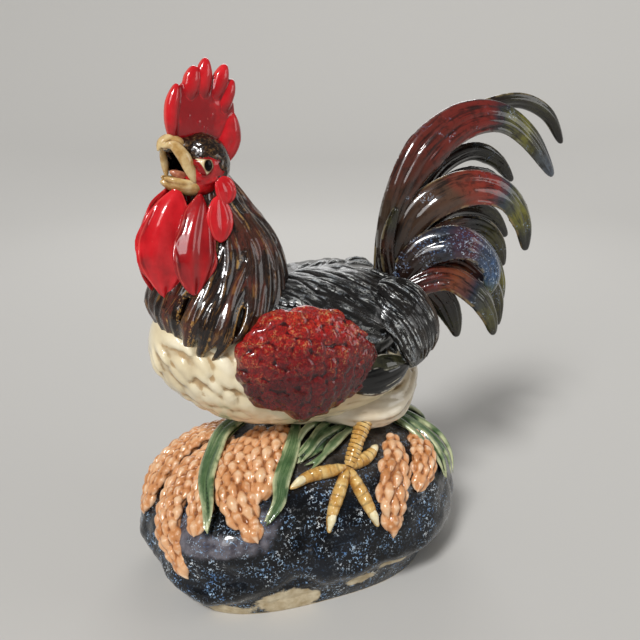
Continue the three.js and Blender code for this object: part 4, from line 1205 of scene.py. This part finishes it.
def ridged(count, deep, wander, phase):
    # rounded ridges side by side on both faces, parted by grooves that wander a little
    def relief(t, across, top):
        place = (across + wander * np.sin(5 * t + phase) + 1) / 2 * count
        ridge = np.sqrt(np.maximum(1 - (2 * (place % 1) - 1) ** 2, 0)) - 1
        return np.sign(top) * deep * ridge * np.sin(np.pi * np.clip(t, 0.02, 0.98)) ** 0.4
    return relief


def makeTail():
    for name, (node, width, side, glaze, ridges, route, shares) in tailFeathers.items():
        clay = Clay()
        points = [tailRoot + [back, side * (0.5 + 0.5 * min(i, 2)), high]
                  for i, (back, high) in enumerate(route)]
        lean = np.array([0, math.copysign(1.1, side), 0.55])
        form = Form(points, np.array(shares) * width / 2, tailLook["half"], lean, 3, -0.2)
        clay.press(form, *tailLook["fineness"],
                   relief=ridged(ridges, tailLook["ridge"], tailLook["wander"], rand.uniform(0, 6)))
        if name in tailWebs:
            side, half, route = tailWebs[name]
            points = [tailRoot + [back, side, high] for back, high in route]
            web = Form(points, [half * 0.7, half, half, half, half * 0.5], 3.0, lean, 2.4)
            clay.press(web, 40, 20, zone=2, relief=ridged(3, 1.2, 0.2, 0))
        fire(name, clay, "tail", [node], glaze=glaze + "Tail")


# Head: the beak gapes like a funnel, and the mouth is cut out of the skull behind it

mouth = {"route": [(2, 0, -4), (9, 0, -1.5), (16, 0, 1), (23.5, 0, 2.5)], "wide": [6, 9.6, 9.4, 7],
         "thick": [5, 9.5, 10, 8.5]}
beak = {
    # routes ahead, left and high from the head's centre, then half widths and half thicknesses
    "roof": ([(13, 0, 13), (21, 0, 17.2), (29.5, 0, 14.5)], [8.5, 8, 5], [6, 5, 3.6]),
    "ridge": ([(17, 0, 18), (23, 0, 20.6), (29, 0, 18.2), (32.5, 0, 12)], [3.6, 4.6, 4.2, 2.4],
              [2.6, 3, 3, 2.2]),
    "band": ([(31, 3, 15), (25, 7.4, 16.5), (19.5, 10.6, 10), (15, 12, 0), (11.5, 12, -9.5)],
             [2.6, 4.4, 4.8, 5, 4.8], 2.7),
    # the far edge of the mouth runs further forward, with a thin wall behind it, painted black as shade
    "farEdge": ([(28.5, 1.5, 15), (26, 5.5, 9), (23.8, 7.8, 1), (22.8, 8.2, -7.5)], [2.8, 2.8, 3, 2.6], 2.4),
    "wall": ([(6, 12.2, 2), (14, 11, 3), (22.6, 8.6, 3)], [9, 10, 9], 1.6),
    # black that lines the gape: painted shade
    "gapeShade": ([(27, 3, 13), (23, 6.2, 14), (18.5, 9, 9), (14, 10.2, 0), (11, 10.4, -9)],
               [2, 3.6, 4, 4, 3], 2),
    "palate": ([(11, 0, 10.5), (19, 0, 12.6), (27.5, 0, 12.4)], [8, 7, 4], [3, 2.8, 2]),
    "rim": ([(9.5, 11, -9), (17, 10, -8.8), (25, 6.5, -7), (30, 1.5, -5.2)], 2.2, 2.3),
    "flank": ([(0, 9.5, -13), (11, 9.4, -12), (21, 7, -10.4), (29, 2, -8)], [3, 3.4, 3.2, 2.6],
              [3.6, 3.8, 3.4, 2.8]),
    "jaw": ([(-1, 0, -15), (11, 0, -13.5), (22, 0, -11), (32, 0, -8)], [12, 12.5, 9.5, 4.8],
            [7.5, 7, 5.6, 4.2]),
    "tongue": ([(6, 0, -9), (15, 0, -6), (23.6, -2, -2)], [4.4, 4.8, 3.8], [3, 3.6, 3.2]),
}


def headForm(route, wide, thick, face=up, blunt=2.0, grow=0.0, side=1):
    points = [onHead(ahead, left * side, high) for ahead, left, high in route]
    return Form(points, wide, thick, face, blunt, grow)


def mouthCutter():
    # faces cut by it take zone 3, black: painted shade inside the mouth
    cutter = Clay()
    cutter.press(headForm(mouth["route"], mouth["wide"], mouth["thick"], blunt=4), 30, 36, zone=3)
    return cutter


def makeBeak():
    upper = Clay()
    upper.press(headForm(*beak["roof"]), 26, 30)
    upper.press(headForm(*beak["ridge"]), 24, 16)
    for side in (-1, 1):
        upper.press(headForm(*beak["band"], headLeft, side=side), 40, 16)
        upper.press(headForm(*beak["gapeShade"], headLeft, side=side), 40, 14, zone=3)
    upper.press(headForm(*beak["farEdge"], headLeft, side=-1), 30, 12)
    # the wall and the palate, zone 3, black: painted shade inside the mouth
    upper.press(headForm(*beak["wall"], headLeft, side=-1), 26, 24, zone=3)
    upper.press(headForm(*beak["palate"]), 24, 24, zone=3)
    fire("beakUpper", upper, "beak", ["beak_upper"], cutter=mouthCutter())
    lower = Clay()
    lower.press(headForm(*beak["jaw"]), 26, 32)
    for side in (-1, 1):
        lower.press(headForm(*beak["rim"], side=side), 30, 14)
        lower.press(headForm(*beak["flank"], side=side), 30, 16)
    fire("beakLower", lower, "beak", ["beak_lower"])
    tongue = Clay()
    tongue.press(headForm(*beak["tongue"]), 24, 20, relief=grooved(0.8, 0.2))
    fire("tongue", tongue, "tongue", ["tongue"])


faceLook = {"wrinkles": 50, "wrinkleHalf": (1.4, 2.6), "capStrands": 420,
            "crownArea": ((0.08, 0.72), (0, 64)), "napeArea": ((0.02, 0.26), (0, 118)),
            "brow": ([(2, 0, 13), (13, 0, 14), (23, 0, 12)], [12, 9.5, 5], [8, 6.5, 5]),
            "throat": ([(4, 0, -6), (13, 0, -6), (21, 0, -5)], [9, 9.5, 8], [7, 7, 5])}


def makeHead():
    clay = Clay()
    skull = headForm([(-20, 0, -4), (0, 0, 0), (23, 0, 2)], [18, 19, 20, 20, 20, 19.2, 15, 11.5, 9],
                     [19, 22, 23, 22, 18], grow=-0.8)
    clay.press(skull, 40, 44, zone=0)
    clay.press(headForm(*faceLook["brow"]), 24, 24, zone=1)
    # the throat, zone 3, takes the black of painted shade inside the mouth
    clay.press(headForm(*faceLook["throat"]), 20, 24, zone=3)
    # soft folds of red skin round the eye and down the cheek
    for i in range(faceLook["wrinkles"]):
        t, turn = rand.uniform(0.3, 0.85), rand.choice((rand.uniform(150, 250), rand.uniform(-70, 30)))
        clay.strand(skull, [(t, turn), (t + 0.08, turn + jitter(14)), (t + 0.16, turn + jitter(28))],
                    rand.uniform(*faceLook["wrinkleHalf"]), 1.0, [-0.5, 0, -0.4], 8, 8, zone=0)
    # a dark cap of short strands over the crown and behind the eye
    for i in range(faceLook["capStrands"]):
        side = rand.choice((-1, 1))
        t, turn = (rand.uniform(*ends) for ends in faceLook["crownArea" if i % 3 else "napeArea"])
        route = overRidge(side, (t + 0.15, turn), (t + 0.07, turn + 5), (t, turn + 12))
        clay.strand(skull, route, [1.0, 1.9, 1.1], [0.8, 1.1, 0.8], [-0.3, 0.2, 0.3], 10, 8, zone=1)
    fire("skull", clay, "skull", ["head"], cutter=mouthCutter())


def makeEyes():
    for name, side in sides.items():
        clay = Clay()
        for middle, ball, low, out in eyeLook["balls"]:
            route = [(middle[0], low, middle[1]), (middle[0], out, middle[1])]
            clay.press(headForm(route, *ball, side=side), 30, 40)
        fire(f"eye{name}", clay, "eye", [f"eye_{name.lower()}"])


comb = {
    "blade": ([(22, 0, 24), (7, 0, 33), (-9, 0, 32), (-22, 0, 18)], [17, 25, 24, 14], [4.2, 3.4, 3.4, 4.2]),
    "lobe": ([(-15, 0, -1), (-22, 0, 14), (-25, 0, 36)], [8, 10, 8], 4.9),
    # each point: where it starts on the blade, bends, and ends, ahead and high, and its half width
    "points": [((21.5, 18), (20.5, 40), (15.5, 56), 5.4), ((8, 42), (6, 52), (1.5, 67), 6.6),
               ((-2, 42), (-4, 56), (-7, 72), 6.4), ((-10, 42), (-15, 52), (-22, 67.5), 6.2),
               ((-17, 32), (-20, 42), (-27, 57.5), 6)],
    "thick": 5.1, "warts": 60, "wart": 1.2,
}


def makeComb():
    clay = Clay()
    clay.press(headForm(*comb["blade"], headLeft), 30, 30, zone=2)
    clay.press(headForm(*comb["lobe"], headLeft), 24, 24, zone=1, relief=ridged(2, 0.8, 0.1, 1))
    for low, over, tip, half in comb["points"]:
        route = [(low[0], 0, low[1]), (over[0], 0, over[1]), (tip[0], 0, tip[1])]
        wide = np.array([0.8, 1, 1.04, 0.8]) * half
        clay.press(headForm(route, wide, comb["thick"], headLeft, 2.4, -0.4), 30, 26)
    for i in range(comb["warts"]):
        spot = onHead(rand.uniform(-22, 18), rand.choice((-1, 1)) * 4.4, rand.uniform(15, 34))
        clay.press(Form([spot - up * 0.6, spot + up * 0.6], comb["wart"], comb["wart"]), 6, 8)
    fire("comb", clay, "comb", ["comb"])


# route, half widths, share of the half thickness, pleats across, depth of the pleats
wattles = {
    "wattle": ([(21, 5, -11), (30, 9, -31), (35.5, 10, -55), (38, 9, -88)], [9, 16.5, 19, 7.5],
               [0.7, 0.8, 0.8, 0.6], 1.5, 0.9),
    "jowl": ([(8, 12, -16), (15, 18, -36), (21, 24, -58), (25, 28, -84)], [8, 12.5, 15.5, 10.5],
             [0.9, 0.9, 0.9, 0.7], 1.7, 1.2),
}
wattleLook = {"wattle": 0.55, "jowl": 0.15, "thick": 6.5}       # how far each faces ahead, and half thickness


def pleated(count, deep, phase):
    # soft folds that run down a flap and bend a little as they go
    def relief(t, across, top):
        fold = np.cos(2 * np.pi * (across * count / 2 + 0.25 * np.sin(3 * t) + phase))
        return deep * fold * np.clip(t * 3, 0, 1) * (1 - across ** 4)
    return relief


def makeWattles():
    for name, side in sides.items():
        for kind, (route, wide, thick, count, deep) in wattles.items():
            clay = Clay()
            ahead = wattleLook[kind] * side
            form = headForm(route, wide, np.array(thick) * wattleLook["thick"],
                            headLeft + headAhead * ahead, grow=-0.7, side=side)
            clay.press(form, 44, 40, zone=1, relief=pleated(count, deep, 0.1 * side))
            for turn in (0, 180):             # rolled rims
                curl = 1 if turn else -1
                route = [(0.05, turn), (0.2, turn + 6), (0.36, turn - 12 * curl), (0.52, turn + 9 * curl),
                         (0.68, turn - 12 * curl), (0.84, turn + 8 * curl), (0.98, turn)]
                clay.strand(form, route, 1.5, [1.2, 1.9, 2.1, 2.1, 2.1, 1.9, 1.4],
                            [0.0, 0.5, 0.9, 0.4, 1.0, 0.5, 0.3], 40, 10)
            fire(kind + name, clay, kind, [f"{kind}_{name.lower()}"])


lobes = {
    "earLobe": ("ear_lobe", [(-2, 18, -18), (-1, 22, -35), (1, 25, -50)], [6, 9.2, 7.4]),
    "cheekLobe": ("cheek_lobe", [(-3, 17, -6), (-8, 19, -15), (-7, 20, -25)], [5, 7, 5.5]),
}


def makeLobes():
    for name, side in sides.items():
        for piece, (node, route, wide) in lobes.items():
            clay = Clay()
            form = headForm(route, np.array(wide) - 0.6, 2.7, headLeft * side + [0, 0, 0.2], side=side)
            clay.press(form, 24, 24, zone=1, relief=grooved(1.0, 0.3))
            for turn in (0, 180):
                route = [(0.05, turn), (0.35, turn), (0.65, turn), (0.96, turn)]
                clay.strand(form, route, 1.4, 2.2, 0.2, 20, 8)
            fire(piece + name, clay, "lobe", [f"{node}_{name.lower()}"])


# Legs and feet

legs = {
    "toe": 5.5, "shank": 6.6, "ridge": 0.4, "toeLines": 7, "legLines": 13,
    # inner, middle, outer and back toe: where it bends and ends, from the heel
    "toes": [((-20, -0.01), (-29, -0.05)), ((-12, -0.23), (-14, -0.31)), ((2, -0.25), (3, -0.33)),
             ((12, 0.03), (22, 0.07))],
    "Left": (-1, (277, 0.7), (0.44, -0.66, -0.8)),
    "Right": (1, (80, 0.7), (0.5, 0.6, -0.8)),
}


def scaled(count, deep):
    # shallow scales one after another along the upper side
    def relief(t, across, top):
        return np.where(top > -0.2, deep * np.cos(2 * np.pi * count * t + across), 0)
    return relief


def ringed(count, deep):
    # rings one above another all round
    def relief(t, across, top):
        return np.sign(top) * deep * np.cos(2 * np.pi * count * t + across)
    return relief


def makeLegs():
    half, shank, lines = legs["toe"], legs["shank"], legs["legLines"]
    for name in ("Left", "Right"):
        sign, heel, hip = legs[name]
        hip = onTorso(*hip)
        ankle = rockPoint(*heel) + rockOut(*heel) * half
        clay = Clay()
        for bend, tip in legs["toes"]:
            route = [heel] + [(heel[0] - sign * turn, heel[1] + rise) for turn, rise in (bend, tip)]
            toe = drape(route, np.array([1, 1, 0.7]) * half * 0.94, np.array([1.4, 1.1, 0.8]) * half * 0.92,
                        half * 0.4, 0, 2.4)
            clay.press(toe, 60, 18, zone=0.68, pick=legs["toeLines"] / mostLines,
                       relief=scaled(legs["toeLines"], legs["ridge"]))
            out = toe.face[-1]
            claw = toe.spine.at(np.array([0.62, 0.82, 1.0])) + out * np.array([[1.4], [1.8], [0.2]])
            clay.press(Form(claw, [2.6, 3.4, 1.3], [2.6, 3.8, 1.6], out, 2.2), 24, 14, zone=2)
        fire(f"foot{name}", clay, "leg", [f"foot_{name.lower()}"])
        clay = Clay()
        leg = Form([ankle - up * shank * 0.4, (ankle + hip) / 2, hip], np.array([1, 0.92, 1.3]) * shank,
                   np.array([1, 0.92, 1.3]) * shank, (1, 0, 0), 3.4, -0.6)
        clay.press(leg, 100, 28, zone=1, pick=lines / mostLines, relief=ringed(lines, legs["ridge"]))
        fire(f"leg{name}", clay, "leg", [f"leg_{name.lower()}"])


# Rice: grains overlap down each ear, and blades of leaf run between the ears

# route of turn and rise over the rock, half width of the ear, half width and length of a grain
riceEars = [
    ([[136, 0.84], [143, 0.64], [157, 0.49], [166, 0.34]], 21, 3.2, 11.5),
    ([[164, 0.8], [181, 0.56], [197, 0.4], [214, 0.25]], 16, 3.9, 13.5),
    ([[184, 0.8], [203, 0.64], [216, 0.45]], 12, 3.9, 13),
    ([[184, 0.88], [210, 0.75], [226, 0.62], [239, 0.44]], 15, 4, 14),
    ([[212, 0.94], [230, 0.8], [236, 0.6]], 11.5, 4.1, 14),
    ([[314, 0.78], [298, 0.65], [288, 0.48], [285, 0.31]], 12, 3.8, 14),
    ([[330, 0.72], [314, 0.6], [299, 0.46]], 11, 3.0, 12),
    ([[48, 0.8], [56, 0.6], [58, 0.4]], 13, 3.9, 13.5),
    ([[112, 0.82], [108, 0.62], [104, 0.42]], 13, 3.9, 13.5),
]
riceLook = {"core": 0.66, "deep": 10, "rowPitch": 0.7, "crowd": 2.3, "arc": 76, "plump": 0.9, "splay": 8}


def makeRice():
    for number, (route, half, grain, long) in enumerate(riceEars):
        clay = Clay()
        core = drape(route, np.array([0.5, 0.9, 0.9, 0.5]) * half,
                     np.array([0.5, 1, 1, 0.6]) * riceLook["deep"] * riceLook["core"], 0, 0, 2.3)
        clay.press(core, 30, 24)
        ahead = long / 2 / core.spine.length
        rows = max(4, round(core.spine.length / (long * riceLook["rowPitch"])))
        for row in range(rows, -1, -1):
            t = 0.02 + 0.96 * row / rows
            reach = float(spread([0.55, 0.95, 1, 0.85, 0.3], t)) * half * 0.95
            count = max(1, round(riceLook["crowd"] * reach / (grain * 2)))
            for k in range(count + row % 2):
                across = 2 * (k + 0.5 - 0.5 * (row % 2)) / count - 1
                turn = 90 - across * riceLook["arc"] + jitter(4)
                size = 1 + jitter(0.1)
                middle = min(t, 1 - ahead * 0.9)
                tip = (middle + ahead, turn - across * 5 + jitter(riceLook["splay"]))
                grainWidth = np.array([0.7, 1, 0.5]) * grain * size
                clay.strand(core, [(middle - ahead, turn), (middle, turn - across * 2), tip],
                            grainWidth, grainWidth * riceLook["plump"], [-1.0, 0.8, 1.6], 14, 14, 2.1)
        out, onward = core.face[-1], core.spine.heading(np.array([1.0]))
        last = np.array([1 - 2.4 * ahead, 1 - ahead, 1])
        for k in (-1, 0, 1):                   # the tip's own grains
            end = core.spine.at(last) + out * np.array([[3.4], [3.2], [1]])
            end += (np.cross(out, onward[0]) * k * grain * np.array([[1], [0.9], [0.2]])
                    + onward * (2.5 - 4 * abs(k)))
            form = Form(end, np.array([0.6, 0.95, 0.3]) * grain, np.array([0.6, 0.95, 0.4]) * grain, out, 2.1)
            clay.press(form, 14, 14)
        fire(f"rice{number + 1}", clay, "rice", [f"rice_ear_{number + 1}"])


# node, route over the rock, half width, lift above the rock, blades, how far they gather at the tip
leafTufts = {
    "leafFront": ("leaf_front", [[140, 0.9], [172, 0.76], [200, 0.68], [218, 0.56], [223, 0.46]],
                  13, 7, 4, 0.85),
    "leafMiddle": ("leaf_middle", [[240, 0.96], [247, 0.84], [242, 0.72], [245, 0.62], [241, 0.5]],
                   9.5, 1.5, 3, 0.8),
    "leafSide": ("leaf_side", [[310, 0.93], [272, 0.86], [250, 0.76]], 17, 1, 6, 0),
    "leafRear": ("leaf_rear", [[352, 0.92], [338, 0.76], [326, 0.57], [320, 0.38]], 16, 1, 5, 0),
    "leafBack": ("leaf_back", [[90, 0.92], [84, 0.72], [82, 0.5], [80, 0.36]], 14, 0, 4, 0.3),
    "leafTail": ("leaf_tail", [[20, 0.9], [18, 0.72], [14, 0.55], [10, 0.4]], 14, 0, 4, 0.3),
}
leafLook = {"thick": 2.3, "rise": 3.2, "veins": 3, "veinDepth": 0.8, "weave": 3.6, "apart": 0.84, "cover": 1.12}


def makeLeaves():
    for name, (node, route, half, lift, blades, gather) in leafTufts.items():
        clay = Clay()
        wide = np.array([0.8, 1, 0.7 - 0.3 * gather, 0.3]) * half * 0.6
        clay.press(drape(route, wide, 3.2, lift, 0, 2.2), 24, 20)
        for i in range(blades):
            across = ((i + 0.5) / blades - 0.5) * 2
            weave = leafLook["weave"] * np.sin(np.linspace(0, 4, 6) + rand.uniform(0, 6))
            shift = np.array([0.65, 0.85, 0.95, 1.0, 0.95, 0.8]) * across * half * leafLook["apart"]
            shift = shift * (1 - gather * np.linspace(0, 1, 6) ** 0.8) + weave * (1 - 0.6 * gather)
            raised = lift + np.array([0.8, 1, 1.1, 1.1, 1, 0.7]) * leafLook["rise"] + jitter(0.7)
            wide = np.array([0.7, 1, 1.05, 0.95, 0.7, 0.3]) * half / blades * leafLook["cover"]
            blade = drape(route, wide, np.array([0.7, 1, 1, 1, 0.9, 0.5]) * leafLook["thick"], raised, shift,
                          2.2, 6)
            clay.press(blade, 44, 26, relief=ridged(leafLook["veins"], leafLook["veinDepth"], 0.05, i))
        fire(name, clay, "leaf", [node])


# Camera, light and floor

studio = {
    "camera": {"heading": 24.0, "dip": 18.5, "distance": 620.0, "side": 20.0, "height": 411.7, "focal": 841.4,
               "picture": 640},
    "floor": "bfbdb9",
    "dish": (1.5, 3.4, 0.34),          # radius where the floor starts to rise, its half size, and how steeply
    "sun": {"toward": (-0.62, -0.62, 0.92), "strength": 2.35, "angle": 12.0},
    "lamps": {"window": ((-1.0, -1.0, 1.1), (0.45, 0.8), 6.5), "side": ((1.3, -0.9, 0.7), (0.7, 0.7), 3.5),
              "back": ((0.5, 1.3, 1.0), (0.9, 0.6), 6.0)},
    "sky": 0.18,
}


def vectorOf(point):
    return Vector((np.asarray(point, float) + frameShift) * 0.001)


def aimed(thing, place, target):
    thing.location = place
    thing.rotation_euler = (target - place).to_track_quat("-Z", "Y").to_euler()


def makeCamera():
    view = studio["camera"]
    a, e = math.radians(view["heading"]), math.radians(view["dip"])
    ahead = Vector((math.sin(a) * math.cos(e), math.cos(a) * math.cos(e), -math.sin(e)))
    eye = np.array([math.cos(a) * view["side"] - math.sin(a) * view["distance"],
                    -math.sin(a) * view["side"] - math.cos(a) * view["distance"], view["height"]])
    camera = placed("camera", bpy.data.cameras.new("camera"))
    camera.data.sensor_width = 36
    camera.data.lens = view["focal"] * camera.data.sensor_width / view["picture"]
    camera.data.clip_start, camera.data.clip_end = 0.01, 60
    aimed(camera, vectorOf(eye), vectorOf(eye) + ahead)
    bpy.context.scene.camera = camera


def makeFloor():
    bm = bmesh.new()
    begin, size, steep = studio["dish"]
    bmesh.ops.create_grid(bm, x_segments=90, y_segments=90, size=size)
    for v in bm.verts:
        v.co.z = steep * max(0.0, math.hypot(v.co.x, v.co.y) - begin) ** 2
    mesh = bpy.data.meshes.new("floor")
    bm.to_mesh(mesh)
    mesh.polygons.foreach_set("use_smooth", [True] * len(mesh.polygons))
    floor = placed("floor", mesh)
    r = Recipe("floorPaper")
    surface = r.node("ShaderNodeBsdfPrincipled", {}, {"Base Color": tone(studio["floor"]), "Roughness": 0.9})
    r.node("ShaderNodeOutputMaterial", {}, {0: surface}, None)
    mesh.materials.append(r.material)


def makeLight():
    target = Vector((0, 0, 0.2))
    sun = bpy.data.lights.new("sun", "SUN")
    sun.energy, sun.angle = studio["sun"]["strength"], math.radians(studio["sun"]["angle"])
    aimed(placed("sun", sun), target + Vector(studio["sun"]["toward"]), target)
    for name, (place, size, power) in studio["lamps"].items():
        light = bpy.data.lights.new(name, "AREA")
        light.shape, light.size, light.size_y, light.energy = "RECTANGLE", size[0], size[1], power
        aimed(placed(name, light), Vector(place), target)
    world = bpy.data.worlds.new("studio")
    bpy.context.scene.world = world
    world.use_nodes = True
    sky = world.node_tree.nodes["Background"]
    sky.inputs["Color"].default_value = (1, 1, 1, 1)
    sky.inputs["Strength"].default_value = studio["sky"]
    bpy.context.scene.view_settings.view_transform = "Standard"


for make in (makeRock, makeBody, makeFluff, makeCape, makeWing, makeFlight, makeSaddle, makeSaddleHackle,
             makeTail, makeBeak, makeHead, makeEyes, makeComb, makeWattles, makeLobes, makeLegs, makeRice,
             makeLeaves, makeCamera, makeFloor, makeLight):
    make()


print("scene ready")
